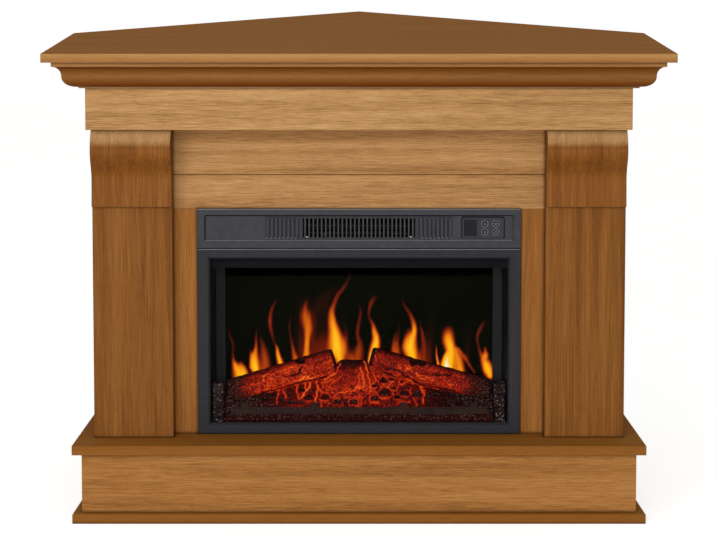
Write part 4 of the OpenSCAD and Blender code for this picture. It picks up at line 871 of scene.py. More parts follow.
# The flame screen: smoked acrylic. The turning rod behind throws flames of light on it, drawn here as
# glowing tongues. Each tongue is a line of places (x, y, half width in the photograph's pixels, heat).
tongues = {
    "flamesLeft": {
        "left curl": [(233, 735, 0.9, 0.28), (250, 800, 1.2, 0.32), (275, 860, 1.4, 0.34),
            (272, 930, 1.3, 0.34), (278, 1000, 2.2, 0.6), (300, 1050, 4, 0.88), (330, 1115, 7, 0.95)],
        "left curl lobe": [(335, 1010, 1.5, 0.4), (350, 1050, 3, 0.6), (365, 1100, 4, 0.75)],
        "second": [(468, 735, 0.8, 0.25), (463, 800, 1.4, 0.38), (463, 880, 2, 0.6), (452, 960, 3.6, 0.85),
            (455, 1040, 4.6, 1), (462, 1095, 4, 1)],
        "second lobe": [(500, 800, 1.4, 0.22), (520, 880, 3.2, 0.42), (532, 960, 5, 0.55),
            (540, 1060, 6, 0.6)],
        "second edge": [(415, 905, 0.8, 0.3), (425, 960, 2.2, 0.55), (432, 1040, 3, 0.7)],
        "third": [(627, 495, 0.9, 0.25), (605, 540, 1.5, 0.34), (585, 600, 2, 0.44), (578, 680, 2.2, 0.5),
            (590, 760, 1.9, 0.42), (612, 840, 1.3, 0.32), (635, 890, 1.6, 0.66), (645, 950, 2.4, 0.9),
            (668, 1030, 3.4, 0.95)],
        "fourth": [(752, 640, 0.8, 0.22), (738, 700, 1.1, 0.3), (745, 780, 1.3, 0.32), (760, 860, 1.7, 0.4),
            (775, 940, 2.4, 0.55), (790, 1000, 3.4, 0.62)],
        "fifth": [(892, 480, 1.5, 0.16), (868, 560, 3, 0.36), (872, 640, 4.8, 0.52), (890, 720, 4, 0.6),
            (886, 800, 2.8, 0.66), (880, 880, 2.5, 0.68), (878, 970, 3.2, 0.72)],
        "fifth haze": [(850, 520, 5, 0.12), (870, 640, 8, 0.26), (870, 760, 9, 0.28), (870, 880, 10, 0.34),
            (880, 980, 11, 0.38)],
        "arc haze": [(1110, 415, 3, 0.1), (1040, 470, 5, 0.19), (985, 540, 6, 0.22), (950, 640, 7, 0.2),
            (960, 760, 8, 0.19), (985, 900, 9, 0.22)],
        "main haze": [(1050, 560, 3, 0.2), (1070, 660, 5, 0.26), (1060, 780, 7, 0.22), (1040, 900, 9, 0.3)],
        "main": [(1238, 262, 0.9, 0.18), (1225, 320, 1.4, 0.28), (1190, 390, 2, 0.36),
            (1140, 450, 2.3, 0.42), (1105, 530, 2.6, 0.5), (1090, 600, 3, 0.62), (1096, 680, 4, 0.82),
            (1112, 760, 5.6, 0.95), (1125, 840, 7.4, 1.02), (1132, 910, 7.6, 1.02), (1150, 980, 4.8, 0.95),
            (1156, 1025, 3, 0.9)],
        "main lobe": [(1200, 690, 1.2, 0.2), (1205, 780, 2.6, 0.3), (1198, 880, 4.4, 0.44),
            (1215, 970, 5.5, 0.42)],
    },
    "flamesRight": {
        "centre thin": [(72, 530, 1, 0.18), (88, 600, 2, 0.32), (70, 700, 1.8, 0.42), (62, 780, 2.1, 0.42),
            (80, 850, 3, 0.44), (72, 920, 5.5, 0.52), (55, 985, 7.5, 0.55)],
        "hook": [(212, 465, 1.7, 0.24), (180, 510, 2.5, 0.42), (160, 570, 1.8, 0.4), (156, 630, 1.4, 0.32),
            (186, 690, 2, 0.5), (200, 750, 2.9, 0.8), (215, 820, 4, 0.95), (205, 890, 4.8, 1.02),
            (175, 960, 3.2, 0.98), (158, 1015, 2, 0.85)],
        "ninth thin": [(405, 680, 0.8, 0.2), (400, 780, 1.2, 0.32), (396, 860, 1.8, 0.42),
            (405, 930, 2.4, 0.42)],
        "ninth": [(377, 770, 1.2, 0.28), (368, 840, 2.6, 0.46), (366, 920, 4, 0.62)],
        "tenth": [(425, 490, 1, 0.24), (455, 550, 1.6, 0.34), (495, 610, 2.1, 0.42), (520, 670, 2.5, 0.6),
            (531, 740, 3, 0.88), (515, 810, 4.4, 0.95), (500, 880, 6.4, 1), (510, 950, 7, 1),
            (532, 1000, 5, 0.92)],
        "tenth lobe": [(490, 735, 1.6, 0.3), (472, 800, 3.4, 0.5), (462, 880, 4.4, 0.55)],
        "eleventh": [(575, 680, 1, 0.2), (594, 760, 1.9, 0.42), (606, 850, 2.6, 0.46),
            (600, 960, 3.4, 0.45), (598, 1010, 4, 0.45)],
        "eleventh haze": [(682, 600, 2, 0.08), (662, 760, 3.4, 0.16), (652, 880, 4, 0.26),
            (650, 1000, 4.4, 0.34)],
        "needle": [(713, 868, 0.7, 0.45), (715, 950, 1.1, 0.8), (727, 1020, 1.5, 0.85)],
        "torch": [(815, 738, 3.4, 0.3), (812, 772, 5.6, 0.62), (811, 815, 6, 0.88), (820, 860, 5.4, 0.98),
            (832, 920, 5.4, 1), (826, 980, 6.4, 1.02), (812, 1040, 7.4, 1.04)],
        "torch core": [(808, 925, 1.6, 0.5), (797, 975, 3.2, 1.05), (790, 1030, 4, 1.15)],
        "torch lobe": [(880, 900, 2.2, 0.5), (893, 960, 3.8, 0.72), (902, 1020, 4.6, 0.8),
            (908, 1075, 5, 0.85)],
        "torch tail": [(900, 900, 1.6, 0.45), (945, 967, 1.8, 0.48), (985, 1030, 1.5, 0.48),
            (1028, 1090, 1.3, 0.4)],
        "torch haze": [(985, 760, 2, 0.1), (972, 860, 2.6, 0.16), (965, 960, 3.4, 0.24)],
        "last": [(1112, 665, 1.2, 0.24), (1076, 730, 2, 0.4), (1050, 800, 1.8, 0.38),
            (1060, 880, 1.6, 0.36), (1085, 950, 2.4, 0.55), (1110, 1000, 4, 0.85), (1136, 1060, 5.2, 1),
            (1155, 1115, 3.6, 0.95)],
        "last lobe": [(1115, 888, 1.2, 0.45), (1120, 950, 2.8, 0.78)]}}
screenDepth = 309.2   # behind the shelf's front edge, in mm
tongues = [[(*measured(view, x, y, screenDepth), half * pixelSize, heat) for x, y, half, heat in places]
           for view, named in tongues.items() for places in named.values()]
screen = {"step": 1.9, "brightness": 0.98, "falloff": 1.35, "thinnest": 1.2, "spread": 1.5,
          "wispWidth": 5 * mm, "wispHeight": 26 * mm, "wispDepth": 0.2,
          "topShadeFoot": 470 * mm, "topShadeTop": 474 * mm}   # painted shade: the screen's top turns black under the valance


def flameHeat(xs, zs):
    cool = np.ones_like(xs)
    for tongue in tongues:
        places = np.array(tongue, float)
        steps = np.linspace(0, len(places) - 1, 10 * (len(places) - 1) + 1)
        line = np.empty((len(steps), 4))
        for column in range(4):
            # Smooth curve through the places
            values = np.concatenate([[2 * places[0, column] - places[1, column]], places[:, column],
                                     [2 * places[-1, column] - places[-2, column]]])
            i = np.minimum(steps.astype(int), len(places) - 2)
            t = steps - i
            a, b, c, d = values[i], values[i + 1], values[i + 2], values[i + 3]
            line[:, column] = 0.5 * (2 * b + (c - a) * t + (2 * a - 5 * b + 4 * c - d) * t ** 2
                                     + (3 * b - a - 3 * c + d) * t ** 3)
        best = np.zeros_like(xs)
        for x, z, half, heat in line:
            half = max(half, screen["thinnest"]) * screen["spread"]
            away = ((xs - x) ** 2 + ((zs - z) * 0.8) ** 2) / half ** 2
            best = np.maximum(best, max(heat, 0) * np.clip(1 - away, 0, 1) ** 1.4)
        cool *= 1 - np.clip(best, 0, 0.97)
    return screen["brightness"] * (1 - cool) ** screen["falloff"]


def screenMesh(name):
    low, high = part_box("flame_screen")
    columns = round((high.x - low.x) / mm / screen["step"])
    rows = round((high.z - low.z) / mm / screen["step"])
    xs, zs = np.meshgrid(np.linspace(low.x, high.x, columns + 1), np.linspace(low.z, high.z, rows + 1))
    heat = flameHeat(xs / mm, zs / mm)
    # Wisps: the light thins and thickens along each tongue
    for r in range(rows + 1):
        for c in range(columns + 1):
            if heat[r, c] > 0.01:
                spot = Vector((xs[r, c] / screen["wispWidth"], zs[r, c] / screen["wispHeight"], 7.0))
                wisp = noise.noise(spot)
                heat[r, c] *= 1 + screen["wispDepth"] * wisp * (1 - 0.8 * heat[r, c])
    front = [(x, low.y, z) for x, z in zip(xs.ravel(), zs.ravel())]
    across = columns + 1
    rim = [r * across for r in range(rows + 1)] + [rows * across + c for c in range(1, across)]
    rim += [r * across + columns for r in range(rows - 1, -1, -1)] + [c for c in range(columns - 1, 0, -1)]
    back = [(front[i][0], high.y, front[i][2]) for i in rim]
    faces = [(r * across + c, r * across + c + 1, (r + 1) * across + c + 1, (r + 1) * across + c)
             for r in range(rows) for c in range(columns)]
    first = len(front)
    for k in range(len(rim)):
        n = (k + 1) % len(rim)
        faces.append((rim[k], rim[n], first + n, first + k))
    faces.append(tuple(first + k for k in range(len(rim)))[::-1])
    mesh = solidMesh(name, front + back, faces, smooth=False)
    setMarks(mesh, flameHeat=np.concatenate([heat.ravel(), np.zeros(len(back))]))
    return mesh


# Smoked acrylic sheet, extruded and etched on its front: nearly black with an olive cast, and matt
smokedAcrylic, tree, shader = newMaterial("smokedAcrylic", {
    "Specular IOR Level": 0.0, "Roughness": 0.6, "Emission Strength": 1.0})
place = addNode(tree, "ShaderNodeTexCoord")
cast = addNode(tree, "ShaderNodeTexNoise", {"Vector": place.outputs["Object"], "Scale": 9.0, "Detail": 2.0})
smoke = addNode(tree, "ShaderNodeMix", {
    0: cast, 6: linearColor("#0b0c06"), 7: linearColor("#11110a")}, data_type="RGBA")
etched = addNode(tree, "ShaderNodeTexNoise", {
    "Vector": place.outputs["Object"], "Scale": 1 / (0.8 * mm), "Detail": 2.0})
etchBump = addNode(tree, "ShaderNodeBump", {"Height": etched, "Strength": 0.3, "Distance": 0.03 * mm})
heat = addNode(tree, "ShaderNodeAttribute", attribute_name="flameHeat")
flame = addNode(tree, "ShaderNodeValToRGB", {"Fac": heat.outputs["Fac"]}, stops=[
    (0.0, "#000000"), (0.12, "#1e0503"), (0.3, "#6a1806"), (0.48, "#b0400a"), (0.66, "#e27410"),
    (0.84, "#fc9e10"), (0.94, "#ffbc18"), (0.965, "#ffc424"), (0.98, "#fff0bc")])
height = addNode(tree, "ShaderNodeSeparateXYZ", {"Vector": place.outputs["Object"]})
# Painted shade: the screen turns black towards its top, under the valance
paintedTopShade = addNode(tree, "ShaderNodeMapRange", {
    "Value": height.outputs["Z"], "From Min": screen["topShadeFoot"], "From Max": screen["topShadeTop"]})
masked = addNode(tree, "ShaderNodeMix", {0: paintedTopShade, 6: smoke, 7: linearColor("#010101")}, data_type="RGBA")
feed(shader, {"Base Color": masked, "Emission Color": flame, "Normal": etchBump})
newPiece("flameScreen", screenMesh("flameScreen"), smokedAcrylic, "flame_screen")
print("Flame screen lit")

# Repeated small parts, grown with Geometry Nodes and then made plain meshes

def startTree(name, sizes):
    # A tree with a geometry input and one named input for each size
    tree = bpy.data.node_groups.new(name, "GeometryNodeTree")
    for way in ("INPUT", "OUTPUT"):
        tree.interface.new_socket("Geometry", in_out=way, socket_type="NodeSocketGeometry")
    for label, value in sizes.items():
        kind = "NodeSocketInt" if isinstance(value, int) else "NodeSocketFloat"
        tree.interface.new_socket(label, in_out="INPUT", socket_type=kind)
    return tree, addNode(tree, "NodeGroupInput").outputs


def grown(name, start, tree, parts, sizes, material):
    # Joins the parts, ends the tree, feeds its inputs by identifier and returns the plain mesh
    joined = addNode(tree, "GeometryNodeJoinGeometry")
    for part in parts:
        feed(joined, {"Geometry": part})
    real = addNode(tree, "GeometryNodeRealizeInstances", {"Geometry": joined})
    coat = addNode(tree, "GeometryNodeSetMaterial", {"Geometry": real, "Material": material})
    addNode(tree, "NodeGroupOutput", {"Geometry": coat})
    draft = addObject(name + "Draft", start)
    modifier = draft.modifiers.new(name, "NODES")
    modifier.node_group = tree
    for item in tree.interface.items_tree:
        if item.in_out == "INPUT" and item.name in sizes:
            modifier[item.identifier] = sizes[item.name]
    return settled(draft, name)


def pointMesh(name, points, edges=()):
    mesh = bpy.data.meshes.new(name)
    mesh.from_pydata([inFrame(*point) for point in points], edges, [])
    return mesh


def softBar(tree, start, end, width, height, radius):
    # A straight bar with rounded long edges
    section = addNode(tree, "GeometryNodeCurvePrimitiveQuadrilateral", {"Width": width, "Height": height})
    soft = addNode(tree, "GeometryNodeFilletCurve", {
        "Curve": section, "Radius": radius, "Count": 3, "Limit Radius": True}, mode="POLY")
    line = addNode(tree, "GeometryNodeCurvePrimitiveLine", {"Start": start, "End": end})
    return addNode(tree, "GeometryNodeCurveToMesh", {"Curve": line, "Profile Curve": soft, "Fill Caps": True})


def roundWire(tree, path, radius):
    # A round wire along the edges of a mesh
    line = addNode(tree, "GeometryNodeMeshToCurve", {"Mesh": path})
    section = addNode(tree, "GeometryNodeCurvePrimitiveCircle", {"Resolution": 8, "Radius": radius})
    return addNode(tree, "GeometryNodeCurveToMesh", {
        "Curve": line, "Profile Curve": section, "Fill Caps": True})


# Air grille: steel bars with rounded fronts between two rails
grille = {"Bar count": 29, "Pitch": 8.46 * mm, "Bar width": 3.0 * mm, "Bar depth": 3.0 * mm,
          "Rail size": 2.0 * mm, "Edge radius": 0.9 * mm}
firstBar, halfRail = 2.2 * mm, 1.0 * mm
grilleCoat = coated("grillePowderCoat", "#3c3c40", "#48484d", 0.9 * mm, rough=(0.35, 0.5),
                    bumpDepth=0.02 * mm, specular=0.12)


def grilleMesh(name):
    low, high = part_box("air_grille")
    middle = (low + high) / 2
    tree, size = startTree(name, grille)
    reach = (high.z - low.z) / 2 - halfRail
    upright = softBar(tree, (0, 0, -reach), (0, 0, reach), size["Bar width"], size["Bar depth"],
                      size["Edge radius"])
    step = addNode(tree, "ShaderNodeCombineXYZ", {"X": size["Pitch"]})
    line = addNode(tree, "GeometryNodeMeshLine", {
        "Count": size["Bar count"], "Start Location": (low.x + firstBar, middle.y, middle.z),
        "Offset": step})
    bars = addNode(tree, "GeometryNodeInstanceOnPoints", {"Points": line, "Instance": upright})
    rails = [softBar(tree, (low.x, high.y - halfRail, z), (high.x, high.y - halfRail, z),
                     size["Rail size"], size["Rail size"], size["Edge radius"])
             for z in (low.z + halfRail, high.z - halfRail)]
    return grown(name, bpy.data.meshes.new(name + "Start"), tree, [bars] + rails, grille, grilleCoat)


newPiece("grilleBars", grilleMesh("grilleBars"), grilleCoat, "air_grille")

# Heating wire: a crimped resistance wire strung along the duct, with two bright studs that hold it
element = {"Crimp": 1.3 * mm, "Wire radius": 0.4 * mm}
elementPlace = {"reach": 100, "depth": 216.5, "z": (573.0, 588.8), "crimps": 24, "stepsPerCrimp": 12,
                "studs": (105.75, 196.5, 567.6)}
studProfile = [(0, -2.0), (1.2, -1.8), (1.9, -1.1), (2.1, 0.0), (2.1, 0.8), (1.0, 1.0), (1.0, 3.0), (0, 3.0)]
heatedWire = coated("oxidisedWire", "#3c3936", "#5a5651", 2 * mm, rough=(0.5, 0.65), metallic=0.5)


def wireMesh(name):
    place = elementPlace
    count = place["crimps"] * place["stepsPerCrimp"]
    points = [(-place["reach"] + 2 * place["reach"] * i / count, place["depth"], z)
              for z in place["z"] for i in range(count + 1)]
    tree, size = startTree(name, element)
    start = pointMesh(name + "Line", points, [
        (first + i, first + i + 1) for first in (0, count + 1) for i in range(count)])
    entry = addNode(tree, "GeometryNodeInputIndex")
    turn = addNode(tree, "ShaderNodeMath", {
        0: entry, 1: 2 * math.pi / place["stepsPerCrimp"]}, operation="MULTIPLY")
    wave = addNode(tree, "ShaderNodeMath", {0: turn}, operation="SINE")
    rise = addNode(tree, "ShaderNodeMath", {0: wave, 1: size["Crimp"]}, operation="MULTIPLY")
    lift = addNode(tree, "ShaderNodeCombineXYZ", {"Z": rise})
    crimped = addNode(tree, "GeometryNodeSetPosition", {"Geometry": size["Geometry"], "Offset": lift})
    wire = roundWire(tree, crimped, size["Wire radius"])
    return grown(name, start, tree, [wire], element, heatedWire)


def turnedMesh(name, profile, centres, spokes=32):
    # Turns a profile (radius and place along Y, in mm) round an axis along Y, at each centre (X, depth, Z)
    verts, faces = [], []
    for x, depth, z in centres:
        rings = []
        for radius, along in profile:
            count = spokes if radius else 1
            rings.append([len(verts) + k % count for k in range(spokes)])
            verts += [inFrame(x + radius * math.cos(a), depth + along, z + radius * math.sin(a))
                      for a in (2 * math.pi * k / spokes for k in range(count))]
        for first, second in zip(rings, rings[1:]):
            for k in range(spokes):
                corners = [first[k], first[k - 1], second[k - 1], second[k]]
                faces.append(list(dict.fromkeys(corners)))
    return solidMesh(name, verts, faces, sharpest=35)


studX, studDepth, studZ = elementPlace["studs"]
newPiece("elementWire", wireMesh("elementWire"), heatedWire, "heating_element", replaces=False)
newPiece("elementStuds", turnedMesh("elementStuds", studProfile, [
    (side * studX, studDepth, studZ) for side in (-1, 1)], 16), steatite, "heating_element", replaces=False)

# Fixing screws at the back: zinc-plated pan heads with a cross recess
screwSizes = {"Head radius": 3.75 * mm, "Head height": 2.0 * mm, "Recess width": 0.9 * mm,
              "Recess reach": 3.6 * mm, "Shank radius": 1.7 * mm, "Shank length": 10.0 * mm, "Seed": 5}
crownShare, recessHeight, recessPlace = 0.6, 3.0 * mm, 2.5 * mm
# Where each head sits (X, depth, Z in mm): the brackets' ears, then the rear cover
screwPlaces = [(side * 331.5, 217.5, z) for side in (-1, 1) for z in (378.0, 408.0)]
screwPlaces += [(side * 303.8, 401.2, z) for side in (-1, 1) for z in (168.7, 385.75, 602.8)]


def screwMesh(name):
    tree, size = startTree(name, screwSizes)
    crown = addNode(tree, "ShaderNodeMath", {0: size["Head radius"], 1: crownShare}, operation="MULTIPLY")
    head = addNode(tree, "GeometryNodeMeshCone", {
        "Vertices": 32, "Side Segments": 1, "Radius Top": crown,
        "Radius Bottom": size["Head radius"], "Depth": size["Head height"]})
    crossed = []
    for turn in (0.0, math.pi / 2):
        extent = addNode(tree, "ShaderNodeCombineXYZ", {
            "X": size["Recess reach"], "Y": size["Recess width"], "Z": recessHeight})
        block = addNode(tree, "GeometryNodeMeshCube", {"Size": extent})
        crossed.append(addNode(tree, "GeometryNodeTransform", {
            "Geometry": block, "Translation": (0, 0, recessPlace), "Rotation": (0, 0, turn)}))
    cut = addNode(tree, "GeometryNodeMeshBoolean", {"Mesh 1": head}, operation="DIFFERENCE")
    for block in crossed:
        feed(cut, {"Mesh 2": block})
    shank = addNode(tree, "GeometryNodeMeshCylinder", {
        "Vertices": 16, "Radius": size["Shank radius"], "Depth": size["Shank length"]})
    sink = addNode(tree, "ShaderNodeMath", {0: size["Shank length"], 1: -0.5}, operation="MULTIPLY")
    sinkBy = addNode(tree, "ShaderNodeCombineXYZ", {"Z": sink})
    lowered = addNode(tree, "GeometryNodeTransform", {"Geometry": shank, "Translation": sinkBy})
    whole = addNode(tree, "GeometryNodeJoinGeometry")
    for part in (cut, lowered):
        feed(whole, {"Geometry": part})
    # Each head faces back, and its recess stands at its own angle
    spin = addNode(tree, "FunctionNodeRandomValue", {
        "Min": (-math.pi / 2, 0, 0), "Max": (-math.pi / 2, math.pi / 2, 0), "Seed": size["Seed"]},
        data_type="FLOAT_VECTOR")
    placed = addNode(tree, "GeometryNodeInstanceOnPoints", {
        "Points": size["Geometry"], "Instance": whole, "Rotation": spin})
    return grown(name, pointMesh(name + "Points", screwPlaces), tree, [placed], screwSizes, zincScrew)


newPiece("fixingScrews", screwMesh("fixingScrews"), zincScrew, "fixing_screws")
print("Grille, wire and screws grown")

# Push buttons: moulded caps with a soft rim and a dished face, each with a small printed sign
button = {"cap": 5.5, "flange": 6.5, "stem": 1.83, "seat": 3.0, "spokes": 40, "ringDepth": 192.5,
          "signDepth": 192.05, "inkRadius": 0.42, "signSize": 2.6}


def arc(radius, start, end, count):
    turns = [math.radians(start + (end - start) * i / count) for i in range(count + 1)]
    return [(radius * math.cos(turn), radius * math.sin(turn)) for turn in turns]


# Signs in units of the sign's size, one list of points for each stroke
signs = {
    "power": [arc(0.8, 125, 415, 16), [(0, 0.25), (0, 1.0)]],
    "heat": [[(x + 0.16 * math.sin(z * 4.2), z) for z in [-0.8 + 0.16 * i for i in range(11)]]
             for x in (-0.6, 0.0, 0.6)],
    "flame": [[(0.0, 1.0), (0.35, 0.45), (0.62, 0.0), (0.55, -0.5), (0.25, -0.85), (-0.1, -0.9),
               (-0.5, -0.6), (-0.6, -0.1), (-0.35, 0.25), (-0.15, 0.6), (0.0, 1.0)]],
    "timer": [arc(0.85, 0, 360, 20), [(0, 0.5), (0, 0), (0.38, -0.18)]],
}


def signMesh(name, strokes, centre):
    points, edges = [], []
    for stroke in strokes:
        first = len(points)
        points += [(centre[0] + x * button["signSize"], button["signDepth"],
                    centre[1] + z * button["signSize"]) for x, z in stroke]
        edges += [(i, i + 1) for i in range(first, len(points) - 1)]
    sizes = {"Ink radius": button["inkRadius"] * mm}
    tree, size = startTree(name, sizes)
    ink = roundWire(tree, size["Geometry"], size["Ink radius"])
    return grown(name, pointMesh(name + "Lines", points, edges), tree, [ink], sizes, printInk)


ringCentres = []
for word, strokes in signs.items():
    node = word + "_button"
    low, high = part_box(node)
    centre = ((low.x + high.x) / 2 / mm, (low.z + high.z) / 2 / mm)
    front, length = (low.y + depthHalf) / mm, (high.y - low.y) / mm
    cap, flange, stem, seat = (button[part] for part in ("cap", "flange", "stem", "seat"))
    profile = [(0, 0.55), (2.0, 0.5), (3.6, 0.35), (4.4, 0.15), (4.8, 0.0), (5.1, 0.05), (5.4, 0.3),
               (cap, 0.7), (cap, seat), (flange, seat), (flange, seat + 1), (stem, seat + 1),
               (stem, length), (0, length)]
    turned = turnedMesh(word + "Cap", profile, [(centre[0], front, centre[1])], button["spokes"])
    newPiece(word + "Cap", turned, buttonPlastic, node)
    newPiece(word + "Sign", signMesh(word + "Sign", strokes, centre), printInk, node, replaces=False)
    ringCentres.append((centre[0], button["ringDepth"], centre[1]))
# A printed ring round each button, on the control plate
ringProfile = [(5.95, -0.05), (6.65, -0.05), (6.75, 0.1), (5.85, 0.1), (5.95, -0.05)]
newPiece("buttonRings", turnedMesh("buttonRings", ringProfile, ringCentres, button["spokes"]), printInk,
         "control_panel", replaces=False)
print("Buttons ready")

# Painted highlights: pale strips along edges that catch the light, on the sunk face's lower lip, the glass
# frame's top edge, the trim's top edge and the feet of the ribs
edgeSizes = {"Lip height": 1.5 * mm, "Thickness": 0.5 * mm, "Edge radius": 0.2 * mm,
             "Foot width": 3.2 * mm, "Foot height": 1.6 * mm}
# Each runs between two X at a depth and Z, in mm
edgeLines = [(-313.0, 314.0, 194.3, 561.4), (-329.0, 329.0, 190.9, 543.2), (-329.0, 329.0, 190.9, 625.2)]
ribFeet = {"first": 120.6, "pitch": 8.46, "count": 8, "depth": 191.4, "z": 566.4}


def edgeMesh(name):
    tree, size = startTree(name, edgeSizes)
    lips = [softBar(tree, inFrame(x0, depth, z), inFrame(x1, depth, z), size["Thickness"],
                    size["Lip height"], size["Edge radius"]) for x0, x1, depth, z in edgeLines]
    extent = addNode(tree, "ShaderNodeCombineXYZ", {
        "X": size["Foot width"], "Y": size["Thickness"], "Z": size["Foot height"]})
    foot = addNode(tree, "GeometryNodeMeshCube", {"Size": extent})
    feet = addNode(tree, "GeometryNodeInstanceOnPoints", {"Points": size["Geometry"], "Instance": foot})
    start = pointMesh(name + "Points", [
        (side * (ribFeet["first"] + i * ribFeet["pitch"]), ribFeet["depth"], ribFeet["z"])
        for side in (-1, 1) for i in range(1, ribFeet["count"] + 1)])
    return grown(name, start, tree, lips + [feet], edgeSizes, paintedHighlightCoat)


# Black strips: painted shadow under the sunk face's top lip and beside its sides, and dark joints between the
# trim and the glass frame and round the control plate
darkStripSizes = {"Gap": 1.8 * mm, "Thickness": 0.3 * mm, "Edge radius": 0.1 * mm}
sunkFace, gapReach = 194.3, 0.8   # the face's depth, and how far a gap's middle lies off the plate, in mm
# Each runs between two places (X, Z) at a depth, in mm
# The first three strips are painted shadow round the sunk face; the others are dark joints
darkStripRuns = [((-314.0, 612.4), (316.0, 612.4), sunkFace), ((-314.0, 563.0), (-314.0, 612.4), sunkFace),
            ((316.0, 563.0), (316.0, 612.4), sunkFace), ((-329.5, 545.3), (329.5, 545.3), 190.85)]
plateLow, plateHigh = (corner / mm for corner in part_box("control_panel"))
plateTop = plateHigh.z + gapReach
darkStripRuns += [((x, plateLow.z), (x, plateHigh.z), sunkFace)
             for x in (plateLow.x - gapReach, plateHigh.x + gapReach)]
darkStripRuns.append(((plateLow.x, plateTop), (plateHigh.x, plateTop), sunkFace))


def darkStripMesh(name):
    tree, size = startTree(name, darkStripSizes)
    bars = []
    for (x0, z0), (x1, z1), depth in darkStripRuns:
        width, height = ("Gap", "Thickness") if x0 == x1 else ("Thickness", "Gap")
        bars.append(softBar(tree, inFrame(x0, depth, z0), inFrame(x1, depth, z1), size[width], size[height],
                            size["Edge radius"]))
    return grown(name, bpy.data.meshes.new(name + "Start"), tree, bars, darkStripSizes, jointAndShadowBlack)


jointAndShadowBlack = coated("jointAndPaintedShadow", "#060607", "#0b0b0d", 1 * mm, rough=(0.8, 0.9), specular=0.0)
newPiece("jointsAndShadowLines", darkStripMesh("jointsAndShadowLines"), jointAndShadowBlack, "heater_trim", replaces=False)
newPiece("paintedHighlightEdges", edgeMesh("paintedHighlightEdges"), paintedHighlightCoat, "heater_trim", replaces=False)

# Grate bar: cast resin painted as old iron
easedEdges("grateBar", "grate_bar", castGrate, edgeWidths["casting"], 3)

# Firebricks at the two ends: courses of rough split blocks on a bed of mortar
# In mm: clearance is kept to the walls, and setBack is how far a course is shifted back from the others
brickwork = {"near": 277.3, "courses": (27, 20, 26, 23), "rough": 2.3, "grit": 4.6, "step": 1.6,
             "clearance": 0.6, "shift": 3, "setBack": 2.5, "bedJoint": 0.4, "rounding": 3.0, "seed": 9.0}


def brickMesh(name):
    verts, faces = [], []
    low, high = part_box("end_bricks")
    bottom, top = low.z / mm, high.z / mm
    spare, rounding = brickwork["clearance"], brickwork["rounding"]
    nearX, farX = brickwork["near"], high.x / mm - spare
    depths = ((low.y + depthHalf) / mm + spare, (high.y + depthHalf) / mm - spare)
    for side in (-1, 1):
        z = bottom
        for n, height in enumerate(brickwork["courses"]):
            height *= (top - bottom) / sum(brickwork["courses"])
            shift = noise.noise(Vector((n * 3.1, side * 2.0, brickwork["seed"])))
            x0, x1 = nearX + max(0, shift) * brickwork["shift"], farX - max(0, -shift) * brickwork["shift"]
            y0, y1 = depths[0] + abs(shift) * brickwork["setBack"], depths[1]
            centre = ((x0 + x1) / 2, (y0 + y1) / 2, z + height / 2)
            half = ((x1 - x0) / 2, (y1 - y0) / 2, height / 2 + brickwork["bedJoint"])
            cells = [max(4, round(2 * h / brickwork["step"])) for h in half]
            first, index = len(verts), {}

            def corner(i, j, k):
                if (i, j, k) not in index:
                    u = [2 * a / c - 1 for a, c in zip((i, j, k), cells)]
                    point = Vector([m + s * h for m, s, h in zip(centre, u, half)])
                    # Round the block's edges, then break its faces
                    inner = [max(-h + rounding, min(h - rounding, p - m))
                             for p, m, h in zip(point, centre, half)]
                    core = Vector([m + q for m, q in zip(centre, inner)])
                    away = point - core
                    if away.length > 1e-6:
                        point = core + away.normalized() * min(rounding, away.length)
                    spot = point / brickwork["grit"] + Vector((side * 7, 0, brickwork["seed"]))
                    rough = noise.fractal(spot, 0.8, 2.1, 4)
                    point -= away.normalized() * brickwork["rough"] * (0.5 + 0.9 * rough)
                    index[i, j, k] = len(verts)
                    verts.append(inFrame(side * point.x, point.y, min(max(point.z, bottom), top)))
                return index[i, j, k]

            a, b, c = cells
            sheets = [(lambda i, j: (i, j, 0), a, b), (lambda i, j: (i, j, c), a, b),
                      (lambda i, j: (i, 0, j), a, c), (lambda i, j: (i, b, j), a, c),
                      (lambda i, j: (0, i, j), b, c), (lambda i, j: (a, i, j), b, c)]
            for place, across, up in sheets:
                for i in range(across):
                    for j in range(up):
                        faces.append([corner(*place(i, j)), corner(*place(i + 1, j)),
                                      corner(*place(i + 1, j + 1)), corner(*place(i, j + 1))])
            z += height
    return solidMesh(name, verts, faces)


newPiece("endBricks", brickMesh("endBricks"), castBrick, "end_bricks")
print("Grate and bricks ready")

# Loose coals on the bed: lumps of cast resin, lit from below
coalSizes = {"Radius": 1.0 * mm, "Roughness": 8.0 * mm, "Seed": 17}
coalStretch, coalGrit = (1.15, 0.95, 0.86), 8 * mm


def bedTopAt(x, depth):
    # Height of the bed's top, without its coals, in mm
    places = [p for p, _ in bedSection[2:6]]
    for (d0, z0), (d1, z1) in zip(places, places[1:]):
        if d0 <= depth <= d1 and d1 > d0 + 1:
            return z0 + (z1 - z0) * (depth - d0) / (d1 - d0) + heapAt(x, depth)
    return places[1][1]


def onBed(x, seen):
    # The depth at which the bed's top is seen at this height
    depth = bed["heapRise"][0]
    while depth < 290 and bedTopAt(x, depth) - lineLook["viewSlope"] * (depth - viewDepth) < seen:
        depth += 0.5
    return depth


